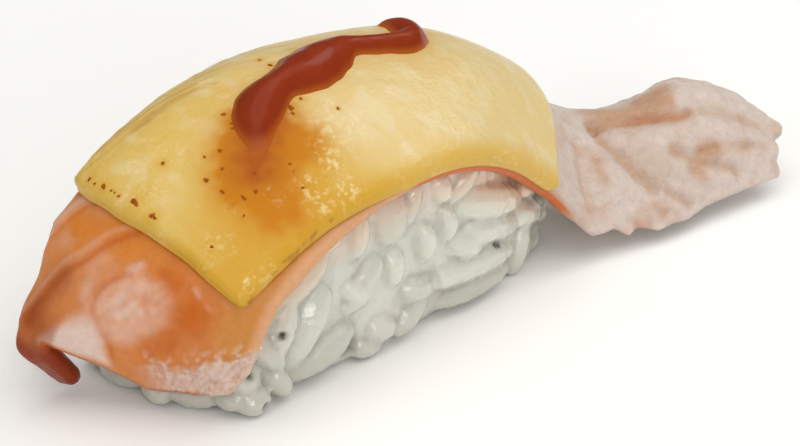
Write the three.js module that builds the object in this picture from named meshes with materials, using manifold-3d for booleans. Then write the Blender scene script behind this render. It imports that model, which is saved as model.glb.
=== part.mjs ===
// Salmon nigiri with a slice of melted cheese and a stripe of sauce, in millimetres, +Z up.
//
// A hand-pressed block of rice stands on its flat underside. A long slice of salmon lies over it, hangs
// down over the left end and runs out past the right end as a seared, crinkled tail. A strip of cheese has
// melted onto the slice, and one thick stripe of sauce wanders along its top.
//
// Everything is laid out from one surface, the upper face of the salmon slice. A point on it is given by
// u, which counts the guide rows from the hanging hem to the tail's tip, and by v, from -1 at the near
// edge to +1 at the far edge.
import * as THREE from "three";
import { mergeVertices } from "three/addons/utils/BufferGeometryUtils.js";
import Module from "manifold-3d";

const wasm = await Module();
wasm.setup();

// ---------------------------------------------------------------- driving dimensions

const GAP = 0.3; // clearance between pieces that lie on each other

// Salmon slice: guide rows across it, each with a point on the near edge, the crown and the far edge.
const SLICE_ROWS = [
  { near: [-30.6, -11.3, 3.6], crown: [-36.0, -1.5, 2.6], far: [-39.5, 9.5, 1.2] }, // hanging hem
  { near: [-29.8, -13.5, 9.5], crown: [-38.3, -1.5, 10.5], far: [-44.3, 11.3, 8.0] },
  { near: [-28.0, -14.5, 14.5], crown: [-37.0, -1.5, 17.5], far: [-39.3, 12.5, 15.5] },
  { near: [-24.5, -14.8, 18.2], crown: [-31.8, -0.5, 22.3], far: [-35.8, 12.8, 21.0] }, // left shoulder
  { near: [-15.5, -14.3, 21.8], crown: [-21.0, 1.5, 28.4], far: [-27.0, 12.8, 26.2] },
  { near: [-5.0, -14.0, 23.6], crown: [-9.0, 2.0, 31.4], far: [-12.0, 12.8, 30.0] },
  { near: [5.0, -14.0, 23.0], crown: [4.5, 1.5, 31.0], far: [3.0, 12.8, 28.7] }, // middle of the block
  { near: [14.5, -13.5, 19.2], crown: [17.6, 0.5, 28.2], far: [17.6, 12.5, 24.5] },
  { near: [23.0, -13.0, 12.4], crown: [28.2, -1.5, 21.9], far: [29.2, 11.0, 17.4] }, // right shoulder
  { near: [30.0, -14.2, 5.4], crown: [36.0, -3.5, 14.4], far: [39.0, 6.0, 11.5] }, // root of the tail
  { near: [40.0, -17.8, 2.9], crown: [44.0, -8.0, 11.5], far: [48.0, 0.0, 10.4] },
  { near: [52.0, -19.5, 3.0], crown: [54.0, -11.5, 12.5], far: [58.0, -4.0, 12.8] },
  { near: [63.0, -20.7, 3.2], crown: [67.0, -15.2, 8.3], far: [64.2, -8.0, 11.6] }, // tip of the tail
];
const LAST_ROW = SLICE_ROWS.length - 1;
const SHOULDER_POWER = 2.2; // 2 gives a round crown, more gives squarer shoulders
const SLICE_THICKNESS = { hem: 3.0, block: 4.6, tail: 2.4 };
const SLICE_EDGE_SHARE = 0.4; // thickness left at the near and far edges
const SLICE_STEPS_ALONG = 62;
const SLICE_COURSES = [-1, -0.93, -0.8, -0.62, -0.42, -0.2, 0.02, 0.22, 0.42, 0.6, 0.74, 0.84, 0.93, 1]; // v
const TAIL_ROOT_ROW = 8.8; // where the seared, crinkled tail begins
const HANG_ROW = 3.2; // where the slice turns down over the left end
const HEM = { row: 0.18, nearCorner: 0.45, farRise: 0.87, lobeFrom: 0.74, lobeTo: 0.84, lobeDrop: 1.02 };

const TIP = { inset: 0.2, point: 0.17, pointAt: -0.2, pointWidth: 0.17, slant: 0.46, slantFrom: -0.05 };
const FLAKE = { height: 0.3, row: 3.1, sweep: 0.85, curl: 0.95, ramp: 0.15, fade: 0.6 };
const TAIL_VALLEY = 0.9; // depth of the tail's longest crease
const TAIL_SWELL = 0.25;

// Cheese strip, melted onto the slice.
const CHEESE_THICKNESS = 1.7;
const CHEESE_LEFT_ROW = { middle: 2.92, skew: 0.42, nearBend: 0.62, farBend: 0.12 }; // its left end lies askew
const CHEESE_RIGHT_ROW = { near: 8.06, far: 8.32 };
const CHEESE_V = { near: -1.03, far: 1.02 }; // it droops a little past the slice's edges
const CHEESE_NEAR_TUCK = { by: 0.2, fromRow: 5.2, toRow: 2.2 }; // but bares the slice at its left corner
const CHEESE_LIP = { along: 0.025, across: 0.05, share: 0.45 }; // width of the rounded lip, and what is left there
const CHEESE_GRID = { along: 34, across: 10 };

// Stripe of sauce: its middle line on the slice (row, v) with its half width and height in mm.
const SAUCE_LINE = [
  { u: 4.12, v: -0.33, half: 1.9, high: 0.5 },
  { u: 4.35, v: -0.17, half: 2.8, high: 1.7 },
  { u: 4.66, v: -0.02, half: 2.9, high: 2.1 },
  { u: 4.96, v: 0.04, half: 2.5, high: 2.0 },
  { u: 5.25, v: 0.0, half: 2.9, high: 2.3 },
  { u: 5.54, v: 0.05, half: 2.8, high: 2.2 },
  { u: 5.85, v: 0.13, half: 1.9, high: 1.8 },
  { u: 6.1, v: 0.08, half: 1.7, high: 1.6 },
  { u: 6.4, v: 0.02, half: 1.9, high: 1.8 },
  { u: 6.62, v: 0.1, half: 2.0, high: 1.8 },
  { u: 6.76, v: 0.34, half: 2.0, high: 1.6 },
  { u: 6.74, v: 0.6, half: 1.5, high: 1.0 },
];
const SAUCE_GRID = { along: 36, across: 6 };
const SLICE_CURVATURE = 0.05; // per mm, across the crown
const SAUCE_ROOT = { rim: 0.5, middle: 1.1 }; // how deep the stripe sits in the cheese

// Rice block.
const RICE = { left: -34.3, right: 31.2, halfWidth: 12.3, top: 30.0, footHeight: 3.2 };
const FOOT_INSET = { farLeft: 0.3, elsewhere: 2.0 }; // how far the foot draws in
const RICE_SQUARENESS = { nearLeft: 6.0, farLeft: 8.0, right: 2.8 }; // powers of the superellipse
const LEFT_STEP = { by: 3.8, fromY: 1.5, toY: -6.5 }; // the left end stands back on its near half
const CORE_LEVELS = [0, 0.5, 1.3, 3.2, 10, 17, 24, RICE.top]; // heights of the core's rings
const CORE_AROUND = 52;
const GRAIN = { length: 7.2, width: 3.5, thickness: 3.3, sides: 5, rings: 3 };
const GRAIN_PITCH = { around: 6.0, up: 3.8 };
const GRAIN_SINK = 0.55; // how far a grain's middle lies inside the block's face
const GRAIN_LOWEST = 2.4; // height of the lowest grains' middles
const GRAIN_TURN = { foot: 0.3, face: 1.3, footHeight: 3.6 }; // most that a grain turns in the face, low and high
const GRAIN_TILT = 0.15;
const GRAIN_SIZE = { least: 0.9, most: 1.1 };
const BURIED = { probeOut: 0.6, aside: 2.2, margin: 0.2, step: 0.25 }; // how near the slice a grain is left out
const CUT_SLAB = { rows: TAIL_ROOT_ROW + 1.2, v: 1.12, height: 9, along: 40, across: 12 }; // room for the slice

// The origin is the middle of the whole piece's footprint, on the table. Up to here, x and y are counted
// from the middle of the rice.
const FOOTPRINT_MIDDLE = { x: 11.03, y: -3.3 };

// ---------------------------------------------------------------- small tools

const lerp = (a, b, t) => a + (b - a) * t;
const clamp = (x, lo, hi) => Math.min(Math.max(x, lo), hi);

function smoothStep(from, to, x) {
  const t = clamp((x - from) / (to - from), 0, 1);
  return t * t * (3 - 2 * t);
}

function seededRandom(seed) {
  let state = seed;
  return () => {
    state = (state + 0x6d2b79f5) | 0;
    let t = Math.imul(state ^ (state >>> 15), 1 | state);
    t = (t + Math.imul(t ^ (t >>> 7), 61 | t)) ^ t;
    return ((t ^ (t >>> 14)) >>> 0) / 4294967296;
  };
}

// A Catmull-Rom curve read by row number, so that row 2.5 lies midway between its third and fourth points.
function rowCurve(points) {
  const curve = new THREE.CatmullRomCurve3(points.map((p) => new THREE.Vector3(...p)), false, "catmullrom", 0.5);
  return (row) => curve.getPoint(clamp(row / (points.length - 1), 0, 1));
}

// Reads one number of a row table at a row between two of its entries.
function rowValue(table, key) {
  const curve = rowCurve(table.map((row) => [row[key], 0, 0]));
  return (row) => curve(row).x;
}

// A closed mesh around a grid of points: its upper face, its lower face and the rim that joins them.
function slabGeometry(along, across, upperPoint, lowerPoint) {
  const positions = [];
  const index = [];
  const faceSize = (along + 1) * (across + 1);
  for (const point of [upperPoint, lowerPoint]) {
    for (let i = 0; i <= along; i++) {
      for (let j = 0; j <= across; j++) positions.push(...point(i / along, j / across).toArray());
    }
  }
  const upper = (i, j) => i * (across + 1) + j;
  const lower = (i, j) => faceSize + upper(i, j);
  const quad = (a, b, c, d) => index.push(a, b, c, a, c, d);
  for (let i = 0; i < along; i++) {
    for (let j = 0; j < across; j++) {
      quad(upper(i, j), upper(i + 1, j), upper(i + 1, j + 1), upper(i, j + 1));
      quad(lower(i, j), lower(i, j + 1), lower(i + 1, j + 1), lower(i + 1, j));
    }
    quad(upper(i, 0), lower(i, 0), lower(i + 1, 0), upper(i + 1, 0));
    quad(upper(i, across), upper(i + 1, across), lower(i + 1, across), lower(i, across));
  }
  for (let j = 0; j < across; j++) {
    quad(upper(0, j), upper(0, j + 1), lower(0, j + 1), lower(0, j));
    quad(upper(along, j), lower(along, j), lower(along, j + 1), upper(along, j + 1));
  }
  const geometry = new THREE.BufferGeometry();
  geometry.setAttribute("position", new THREE.Float32BufferAttribute(positions, 3));
  geometry.setIndex(index);
  return geometry;
}

function toSolid(geometry) {
  const bare = geometry.clone();
  bare.deleteAttribute("normal");
  bare.deleteAttribute("uv");
  const merged = mergeVertices(bare, 1e-4);
  return new wasm.Manifold(
    new wasm.Mesh({
      numProp: 3,
      vertProperties: new Float32Array(merged.attributes.position.array),
      triVerts: new Uint32Array(merged.index.array),
    }),
  );
}

function toGeometry(solid) {
  const mesh = solid.getMesh();
  const geometry = new THREE.BufferGeometry();
  geometry.setAttribute("position", new THREE.BufferAttribute(mesh.vertProperties, 3));
  geometry.setIndex(new THREE.BufferAttribute(mesh.triVerts, 1));
  geometry.computeVertexNormals();
  return geometry;
}

// ---------------------------------------------------------------- the slice's upper face

const nearEdge = rowCurve(SLICE_ROWS.map((row) => row.near));
const crownLine = rowCurve(SLICE_ROWS.map((row) => row.crown));
const farEdge = rowCurve(SLICE_ROWS.map((row) => row.far));

function slicePoint(u, v) {
  const near = nearEdge(u);
  const far = farEdge(u);
  const middle = near.clone().add(far).multiplyScalar(0.5);
  const crown = crownLine(u).sub(middle);
  const half = far.clone().sub(near).multiplyScalar(0.5);
  return middle.addScaledVector(half, v).addScaledVector(crown, 1 - Math.abs(v) ** SHOULDER_POWER);
}

function sliceNormal(u, v) {
  const step = 0.01;
  const along = slicePoint(Math.min(u + step, LAST_ROW), v).sub(slicePoint(Math.max(u - step, 0), v));
  const across = slicePoint(u, v + step).sub(slicePoint(u, v - step));
  return along.cross(across).normalize();
}

function offSlice(u, v, distance) {
  return slicePoint(u, v).addScaledVector(sliceNormal(u, v), distance);
}

// ---------------------------------------------------------------- salmon

// The hem's row: level below the near half, rising towards the far side, where one corner hangs as a lobe.
function hemRow(v) {
  const nearCorner = HEM.nearCorner * smoothStep(-0.88, -1, v);
  const farRise = HEM.farRise * clamp((v + 0.07) / 0.81, 0, 1);
  const lobe = HEM.lobeDrop * smoothStep(HEM.lobeFrom, HEM.lobeTo, v);
  return Math.max(0, HEM.row + nearCorner + farRise - lobe);
}

// The tail's torn end: one blunt point beside its middle, and the far side slants back.
function tipRow(v) {
  const point = TIP.point * Math.exp(-(((v - TIP.pointAt) / TIP.pointWidth) ** 2));
  const slant = TIP.slant * smoothStep(TIP.slantFrom, 1, v);
  return LAST_ROW - TIP.inset + point - slant;
}

function sliceThickness(u, v) {
  const hang = smoothStep(HANG_ROW, 0, u);
  const tail = smoothStep(TAIL_ROOT_ROW - 1.4, TAIL_ROOT_ROW + 0.6, u);
  const middle = lerp(lerp(SLICE_THICKNESS.block, SLICE_THICKNESS.hem, hang), SLICE_THICKNESS.tail, tail);
  const edge = Math.sqrt(Math.max(0, 1 - Math.abs(v) ** 4));
  return middle * lerp(SLICE_EDGE_SHARE, 1, edge);
}

// Relief on the upper face: the overlapping muscle flakes of the hanging end, and the tail's creases.
function sliceRelief(u, v) {
  const hang = smoothStep(HANG_ROW - 0.2, HANG_ROW - 0.9, u);
  const tail = smoothStep(TAIL_ROOT_ROW, TAIL_ROOT_ROW + 0.5, u);
  return hang * flakeRelief(u, v) + tail * tailRelief(u, v);
}

// One flake overlaps the next along a curve that sweeps from the left shoulder to the far edge.
function flakeRelief(u, v) {
  const w = Math.max(v, 0);
  const beyond = u - (FLAKE.row - FLAKE.sweep * w - FLAKE.curl * w ** 3);
  const step = smoothStep(-FLAKE.ramp, FLAKE.ramp, beyond);
  return FLAKE.height * step * Math.exp(-Math.max(beyond, 0) / FLAKE.fade);
}

// Valleys: a long one down the tail's middle, one that branches off it towards the near edge at the root,
// and a short one nearer the tip.
function tailRelief(u, v) {
  const valley = (distance, width) => Math.exp(-((distance / width) ** 2));
  const w = 0.05 - v;
  const middle = valley(v - 0.07, 0.12) * smoothStep(9.2, 9.6, u) * smoothStep(12, 11.4, u);
  const branch = valley(u - (9.5 + 0.37 * w + 0.65 * w ** 3), 0.16) * smoothStep(-0.1, 0.15, w);
  const short = valley(v + 0.48 + 0.55 * (u - 10.53), 0.1) * smoothStep(10.3, 10.7, u);
  const swells = Math.sin(5.2 * u + 2 * v) * Math.sin(5 * v - 2 * u + 0.6);
  return TAIL_SWELL * swells - TAIL_VALLEY * (middle + 0.9 * branch + 0.6 * short);
}

function salmonGeometry() {
  const across = SLICE_COURSES.length - 1;
  const spot = (s, t) => {
    const v = SLICE_COURSES[Math.round(t * across)];
    const hem = hemRow(v) * smoothStep(0.35, 0, s);
    const tip = (LAST_ROW - tipRow(v)) * smoothStep(0.75, 1, s);
    return [LAST_ROW * s + hem - tip, v];
  };
  const upper = (s, t) => {
    const [u, v] = spot(s, t);
    return offSlice(u, v, sliceRelief(u, v));
  };
  const lower = (s, t) => {
    const [u, v] = spot(s, t);
    return offSlice(u, v, -sliceThickness(u, v));
  };
  return slabGeometry(SLICE_STEPS_ALONG, across, upper, lower);
}

// ---------------------------------------------------------------- cheese and sauce

function cheeseSpot(s, t) {
  const tuckAlong = lerp(CHEESE_LEFT_ROW.middle - 0.7, CHEESE_RIGHT_ROW.near, s);
  const { by, fromRow, toRow } = CHEESE_NEAR_TUCK;
  const tuck = by * clamp((fromRow - tuckAlong) / (fromRow - toRow), 0, 1);
  const v = lerp(CHEESE_V.near + tuck, CHEESE_V.far, t);
  const { middle, skew, nearBend, farBend } = CHEESE_LEFT_ROW;
  const left = middle + skew * v - nearBend * Math.min(v, 0) ** 2 + farBend * Math.max(v, 0) ** 4;
  const right = lerp(CHEESE_RIGHT_ROW.near, CHEESE_RIGHT_ROW.far, smoothStep(-1, -0.2, v));
  return [lerp(left, right, s), v];
}

// The melted edge thins out to a rounded lip.
function cheeseThickness(s, t) {
  const lip = (x, width) => Math.sqrt(1 - (1 - clamp(x / width, 0, 1)) ** 2);
  const edge = Math.min(lip(Math.min(s, 1 - s), CHEESE_LIP.along), lip(Math.min(t, 1 - t), CHEESE_LIP.across));
  return CHEESE_THICKNESS * lerp(CHEESE_LIP.share, 1, edge);
}

const CHEESE_LIFT = GAP + 0.1; // clear of the slice, relief and all

function cheeseSolid() {
  const upper = (s, t) => {
    const [u, v] = cheeseSpot(s, t);
    return offSlice(u, v, CHEESE_LIFT + cheeseThickness(s, t));
  };
  const lower = (s, t) => {
    const [u, v] = cheeseSpot(s, t);
    return offSlice(u, v, CHEESE_LIFT);
  };
  return toSolid(slabGeometry(CHEESE_GRID.along, CHEESE_GRID.across, upper, lower));
}

function sauceSolid() {
  const [rowAt, vAt, halfAt, highAt] = ["u", "v", "half", "high"].map((key) => rowValue(SAUCE_LINE, key));
  const top = CHEESE_LIFT + CHEESE_THICKNESS;
  const last = SAUCE_LINE.length - 1;
  const middleAt = (k) => offSlice(rowAt(k), vAt(k), top);
  const section = (s, t, heightAt) => {
    const k = s * last;
    const taper = Math.sqrt(Math.max(0, 1 - Math.abs(2 * s - 1) ** 12));
    const ahead = middleAt(Math.min(k + 0.2, last)).sub(middleAt(Math.max(k - 0.2, 0)));
    const normal = sliceNormal(rowAt(k), vAt(k));
    const side = normal.clone().cross(ahead).normalize();
    const w = lerp(-1, 1, t);
    const reach = halfAt(k) * lerp(0.3, 1, taper) * w;
    const fall = 0.5 * SLICE_CURVATURE * reach ** 2;
    return middleAt(k)
      .addScaledVector(side, reach)
      .addScaledVector(normal, heightAt(k, w, taper) - fall);
  };
  const upper = (s, t) =>
    section(s, t, (k, w, taper) => (highAt(k) + SAUCE_ROOT.rim) * taper * (1 - w ** 2) - SAUCE_ROOT.rim);
  const lower = (s, t) => section(s, t, (k, w) => -SAUCE_ROOT.rim - (SAUCE_ROOT.middle - SAUCE_ROOT.rim) * (1 - w ** 2));
  return toSolid(slabGeometry(SAUCE_GRID.along, SAUCE_GRID.across, upper, lower));
}

// ---------------------------------------------------------------- rice

const RICE_MIDDLE_X = (RICE.left + RICE.right) / 2;
const RICE_HALF_LENGTH = (RICE.right - RICE.left) / 2;

// A point on the block's upright face at an angle round it and a height above the table.
function riceFace(angle, z) {
  const { nearLeft, farLeft, right } = RICE_SQUARENESS;
  const left = Math.sin(angle) < 0 ? nearLeft : farLeft;
  const power = 2 / (Math.cos(angle) < 0 ? left : right);
  const foot = 1 - clamp(z / RICE.footHeight, 0, 1);
  const atFarLeft = smoothStep(0, -0.6, Math.cos(angle)) * smoothStep(-0.2, 0.3, Math.sin(angle));
  const inset = lerp(FOOT_INSET.elsewhere, FOOT_INSET.farLeft, atFarLeft) * foot ** 2;
  const y = Math.sign(Math.sin(angle)) * Math.abs(Math.sin(angle)) ** power * (RICE.halfWidth - inset);
  const back = Math.cos(angle) < 0 ? LEFT_STEP.by * smoothStep(LEFT_STEP.fromY, LEFT_STEP.toY, y) : 0;
  const x = Math.sign(Math.cos(angle)) * Math.abs(Math.cos(angle)) ** power * (RICE_HALF_LENGTH - inset - back);
  return new THREE.Vector3(RICE_MIDDLE_X + x, y, z);
}

function riceCore() {
  const around = CORE_AROUND;
  const positions = [];
  const index = [];
  for (const z of CORE_LEVELS) {
    for (let i = 0; i < around; i++) positions.push(...riceFace((2 * Math.PI * i) / around, z).toArray());
  }
  const ring = (k, i) => k * around + (i % around);
  for (let k = 0; k < CORE_LEVELS.length - 1; k++) {
    for (let i = 0; i < around; i++) {
      index.push(ring(k, i), ring(k, i + 1), ring(k + 1, i + 1), ring(k, i), ring(k + 1, i + 1), ring(k + 1, i));
    }
  }
  const topRing = CORE_LEVELS.length - 1;
  const bottomMiddle = positions.length / 3;
  positions.push(RICE_MIDDLE_X, 0, 0, RICE_MIDDLE_X, 0, RICE.top);
  for (let i = 0; i < around; i++) {
    index.push(bottomMiddle, ring(0, i + 1), ring(0, i));
    index.push(bottomMiddle + 1, ring(topRing, i), ring(topRing, i + 1));
  }
  const geometry = new THREE.BufferGeometry();
  geometry.setAttribute("position", new THREE.Float32BufferAttribute(positions, 3));
  geometry.setIndex(index);
  return toSolid(geometry);
}

// One grain of rice: a few-sided ellipsoid along X.
function grainGeometry() {
  const { sides, rings } = GRAIN;
  const profile = [];
  for (let k = 0; k <= rings + 1; k++) {
    const a = (Math.PI * k) / (rings + 1);
    profile.push(new THREE.Vector2(k === 0 || k === rings + 1 ? 0 : Math.sin(a) ** 0.8, -Math.cos(a)));
  }
  return new THREE.LatheGeometry(profile, sides)
    .rotateZ(-Math.PI / 2)
    .scale(GRAIN.length / 2, GRAIN.thickness / 2, GRAIN.width / 2);
}

// The way round the block's face: angles at the ends of equal steps, to place things by distance.
const ROUND_STEPS = 360;
const ROUND = roundFace();

function roundFace() {
  const fine = 20 * ROUND_STEPS;
  const travelled = [0];
  for (let i = 1; i <= fine; i++) {
    const step = riceFace((2 * Math.PI * i) / fine, 10).distanceTo(riceFace((2 * Math.PI * (i - 1)) / fine, 10));
    travelled.push(travelled[i - 1] + step);
  }
  const length = travelled[fine];
  const angles = [];
  for (let i = 0, k = 0; k < ROUND_STEPS; i++) {
    if (travelled[i] >= (k / ROUND_STEPS) * length) {
      angles.push((2 * Math.PI * i) / fine);
      k++;
    }
  }
  return { length, angles };
}

function angleAt(distance) {
  const step = Math.round((distance / ROUND.length) * ROUND_STEPS);
  return ROUND.angles[((step % ROUND_STEPS) + ROUND_STEPS) % ROUND_STEPS];
}

// Grains stand out of the block's face in staggered courses, each turned at random in the face.
function riceGrains() {
  const random = seededRandom(7);
  const grain = grainGeometry();
  const placed = [];
  const perCourse = Math.round(ROUND.length / GRAIN_PITCH.around);
  for (let z = GRAIN_LOWEST, course = 0; z < RICE.top - 2; z += GRAIN_PITCH.up, course++) {
    for (let i = 0; i < perCourse; i++) {
      const stagger = (course % 2) / 2 + 0.3 * (random() - 0.5);
      const angle = angleAt(((i + stagger) * ROUND.length) / perCourse);
      const height = Math.max(GRAIN_LOWEST, z + random() - 0.5);
      const turnLimit = height < GRAIN_TURN.footHeight ? GRAIN_TURN.foot : GRAIN_TURN.face;
      const turn = turnLimit * (2 * random() - 1);
      const tilt = GRAIN_TILT * (2 * random() - 1);
      const size = lerp(GRAIN_SIZE.least, GRAIN_SIZE.most, random());
      const at = riceFace(angle, height);
      const ahead = riceFace(angle + 0.01, height).sub(at).setZ(0).normalize();
      const out = new THREE.Vector3(ahead.y, -ahead.x, 0);
      if (isUnderSlice(at, out)) continue;
      const place = new THREE.Matrix4()
        .makeBasis(ahead, out, new THREE.Vector3().crossVectors(ahead, out))
        .multiply(new THREE.Matrix4().makeRotationY(turn))
        .multiply(new THREE.Matrix4().makeRotationZ(tilt))
        .setPosition(at.addScaledVector(out, -GRAIN_SINK));
      placed.push(toSolid(grain.clone().scale(size, size, size).applyMatrix4(place)));
    }
  }
  return placed;
}

// A grain that the slice would bury is left out.
function isUnderSlice(at, out) {
  const probe = at.clone().addScaledVector(out, BURIED.probeOut);
  for (let u = 0; u <= TAIL_ROOT_ROW + 1; u += BURIED.step) {
    for (let v = -1; v <= 1; v += BURIED.step) {
      const face = slicePoint(u, v);
      const normal = sliceNormal(u, v);
      const apart = probe.clone().sub(face);
      const depth = apart.dot(normal);
      const aside = apart.addScaledVector(normal, -depth).length();
      if (aside < BURIED.aside && depth > -sliceThickness(u, v) - BURIED.margin) return true;
    }
  }
  return false;
}

// Everything that the slice takes up, with clearance below it and room to spare above.
function sliceRoom() {
  const spot = (s, t) => [lerp(0, CUT_SLAB.rows, s), lerp(-CUT_SLAB.v, CUT_SLAB.v, t)];
  const upper = (s, t) => {
    const [u, v] = spot(s, t);
    return offSlice(u, v, CUT_SLAB.height);
  };
  const lower = (s, t) => {
    const [u, v] = spot(s, t);
    return offSlice(u, v, -sliceThickness(u, clamp(v, -1, 1)) - GAP);
  };
  return toSolid(slabGeometry(CUT_SLAB.along, CUT_SLAB.across, upper, lower));
}

function riceSolid() {
  const heap = wasm.Manifold.union([riceCore(), ...riceGrains()]);
  const fitted = heap.subtract(sliceRoom());
  return fitted.decompose().sort((a, b) => b.volume() - a.volume())[0];
}

// ---------------------------------------------------------------- the group

function piece(name, geometry, color, roughness) {
  const material = new THREE.MeshStandardMaterial({ color, roughness, metalness: 0, flatShading: true });
  const mesh = new THREE.Mesh(geometry, material);
  mesh.name = name;
  return mesh;
}

const nigiri = new THREE.Group();
nigiri.add(
  piece("rice", toGeometry(riceSolid()), 0xd9dad0, 0.45),
  piece("salmon", salmonGeometry(), 0xdd8a55, 0.35),
  piece("cheese", toGeometry(cheeseSolid().add(sauceSolid())), 0xe6c35c, 0.3),
);
nigiri.position.set(-FOOTPRINT_MIDDLE.x, -FOOTPRINT_MIDDLE.y, 0);

export default nigiri;
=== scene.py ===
"""A salmon nigiri with a slice of melted cheese and a stripe of sauce, dressed round its solid model.

Shapes are laid out in millimetres from one surface, the upper face of the salmon slice. A spot on it is
given by its row, counted from the hanging hem to the tail's tip, and by v, from -1 at the near edge to +1
at the far edge. Until a mesh is made, x and y are counted from the middle of the rice.
"""

import math

import bpy
import numpy as np
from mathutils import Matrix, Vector, noise
from mathutils.kdtree import KDTree


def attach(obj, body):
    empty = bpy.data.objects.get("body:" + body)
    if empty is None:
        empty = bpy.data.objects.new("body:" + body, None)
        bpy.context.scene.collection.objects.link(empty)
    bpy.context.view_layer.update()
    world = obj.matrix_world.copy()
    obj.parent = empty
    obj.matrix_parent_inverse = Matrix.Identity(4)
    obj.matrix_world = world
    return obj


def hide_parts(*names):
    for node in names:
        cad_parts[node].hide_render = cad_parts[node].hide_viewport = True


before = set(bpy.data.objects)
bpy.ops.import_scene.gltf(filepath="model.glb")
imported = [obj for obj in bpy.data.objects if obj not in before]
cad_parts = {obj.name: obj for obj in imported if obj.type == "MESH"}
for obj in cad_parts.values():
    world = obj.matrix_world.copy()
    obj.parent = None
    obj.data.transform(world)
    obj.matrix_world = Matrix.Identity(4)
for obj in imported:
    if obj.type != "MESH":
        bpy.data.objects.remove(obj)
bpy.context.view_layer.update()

bl_info = {
    "name": "Seared Salmon Nigiri",
    "version": (1, 0, 0),
    "blender": (4, 5, 0),
    "location": "View3D > Sidebar > Nigiri",
    "description": "Salmon nigiri with melted cheese and a stripe of sauce",
    "category": "Add Mesh",
}

MM = 0.001


def to_linear(colour):
    """The linear red, green and blue of a hex colour."""
    values = [int(colour[k : k + 2], 16) / 255 for k in (1, 3, 5)]
    return tuple(x / 12.92 if x <= 0.04045 else ((x + 0.055) / 1.055) ** 2.4 for x in values)


# ---------------------------------------------------------------- sizes in millimetres

FOOTPRINT_MIDDLE = (11.03, -3.3, 0.0)  # where the part's origin lies, from the middle of the rice

SLICE_ROWS = np.array([  # near edge, crown and far edge of each guide row
    [[-30.6, -11.3, 3.6], [-36.0, -1.5, 2.6], [-39.5, 9.5, 1.2]],  # hanging hem
    [[-29.8, -13.5, 9.5], [-38.3, -1.5, 10.5], [-44.3, 11.3, 8.0]],
    [[-28.0, -14.5, 14.5], [-37.0, -1.5, 17.5], [-39.3, 12.5, 15.5]],
    [[-24.5, -14.8, 18.2], [-31.8, -0.5, 22.3], [-35.8, 12.8, 21.0]],  # left shoulder
    [[-15.5, -14.3, 21.8], [-21.0, 1.5, 28.4], [-27.0, 12.8, 26.2]],
    [[-5.0, -14.0, 23.6], [-9.0, 2.0, 31.4], [-12.0, 12.8, 30.0]],
    [[5.0, -14.0, 23.0], [4.5, 1.5, 31.0], [3.0, 12.8, 28.7]],  # middle of the block
    [[14.5, -13.5, 19.2], [17.6, 0.5, 28.2], [17.6, 12.5, 24.5]],
    [[23.0, -13.0, 12.4], [28.2, -1.5, 21.9], [29.2, 11.0, 17.4]],  # right shoulder
    [[30.0, -14.2, 5.4], [36.0, -3.5, 14.4], [39.0, 6.0, 11.5]],  # root of the tail
    [[40.0, -17.8, 2.9], [44.0, -8.0, 11.5], [48.0, 0.0, 10.4]],
    [[52.0, -19.5, 3.0], [54.0, -11.5, 12.5], [58.0, -4.0, 12.8]],
    [[63.0, -20.7, 3.2], [67.0, -15.2, 8.3], [64.2, -8.0, 11.6]],  # tip of the tail
])
LAST_ROW = len(SLICE_ROWS) - 1
ROW_LENGTH, V_LENGTH = 7.0, 14.0  # about how many mm one row and one v are at the raw end
SHOULDER_POWER = 2.2  # 2 gives a round crown, more gives squarer shoulders
HANG_ROW = 3.2  # where the slice turns down over the left end
TAIL_ROOT_ROW = 8.8
HEM = {  # rows and places along v that shape the hanging edge
    "row": 0.18,
    "near_corner": 0.45,
    "near_corner_v": (-0.88, -1),
    "far_rise": 0.87,
    "rise_from": -0.07,
    "rise_width": 0.81,
    "lobe": (0.79, 0.89),
    "lobe_drop": 1.02,
}
TIP = {  # the same of the tail's ragged tip
    "inset": 0.2,
    "point": 0.17,
    "at": -0.2,
    "width": 0.17,
    "slant": 0.46,
    "slant_from": -0.05,
    "ragged": 0.02,
}
TAIL_NEAR_EDGE = np.array([  # row, and how far out the tail's lumpy near edge stands there
    [8.8, 1.0], [9.06, 1.05], [9.25, 1.02], [9.4, 0.98], [9.56, 1.04],
    [9.71, 0.98], [9.98, 1.03], [10.18, 1.0], [10.37, 1.02], [10.65, 0.98],
    [11.0, 0.97], [11.3, 0.98], [11.52, 1.0], [11.84, 1.0],
])
SLICE_THICKNESS = {"hem": 3.0, "block": 4.6, "tail": 2.4}
SLICE_EDGE_SHARE = 0.4
SALMON_GRID = (370, 124)

CHEESE_THICKNESS = 1.7
CHEESE_LIFT = 0.4
CHEESE_LEFT_ROW = {"middle": 2.92, "skew": 0.42, "near_bend": 0.62, "far_bend": 0.12}
CHEESE_RIGHT_ROW = (8.06, 8.32)
CHEESE_V = (-1.03, 1.02)
CHEESE_GRID = (300, 150)

SAUCE_LINE = np.array([  # row, v, half width, height
    [4.02, -0.37, 1.6, 0.1], [4.2, -0.27, 3.0, 0.6], [4.4, -0.15, 3.6, 1.6], [4.66, -0.04, 3.7, 2.1],
    [4.96, 0.01, 3.2, 2.0], [5.25, 0.01, 4.5, 2.3], [5.54, 0.07, 4.5, 2.2], [5.85, 0.13, 2.9, 1.8],
    [6.1, 0.07, 2.2, 1.6], [6.4, 0.02, 2.4, 1.8], [6.62, 0.1, 2.7, 1.8], [6.72, 0.32, 3.0, 1.6],
    [6.68, 0.56, 2.6, 1.0],
])
SAUCE_GRID = (200, 48)
SAUCE_ROOT = {"rim": 0.5, "middle": 1.1}
SLICE_CURVATURE = 0.05

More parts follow.
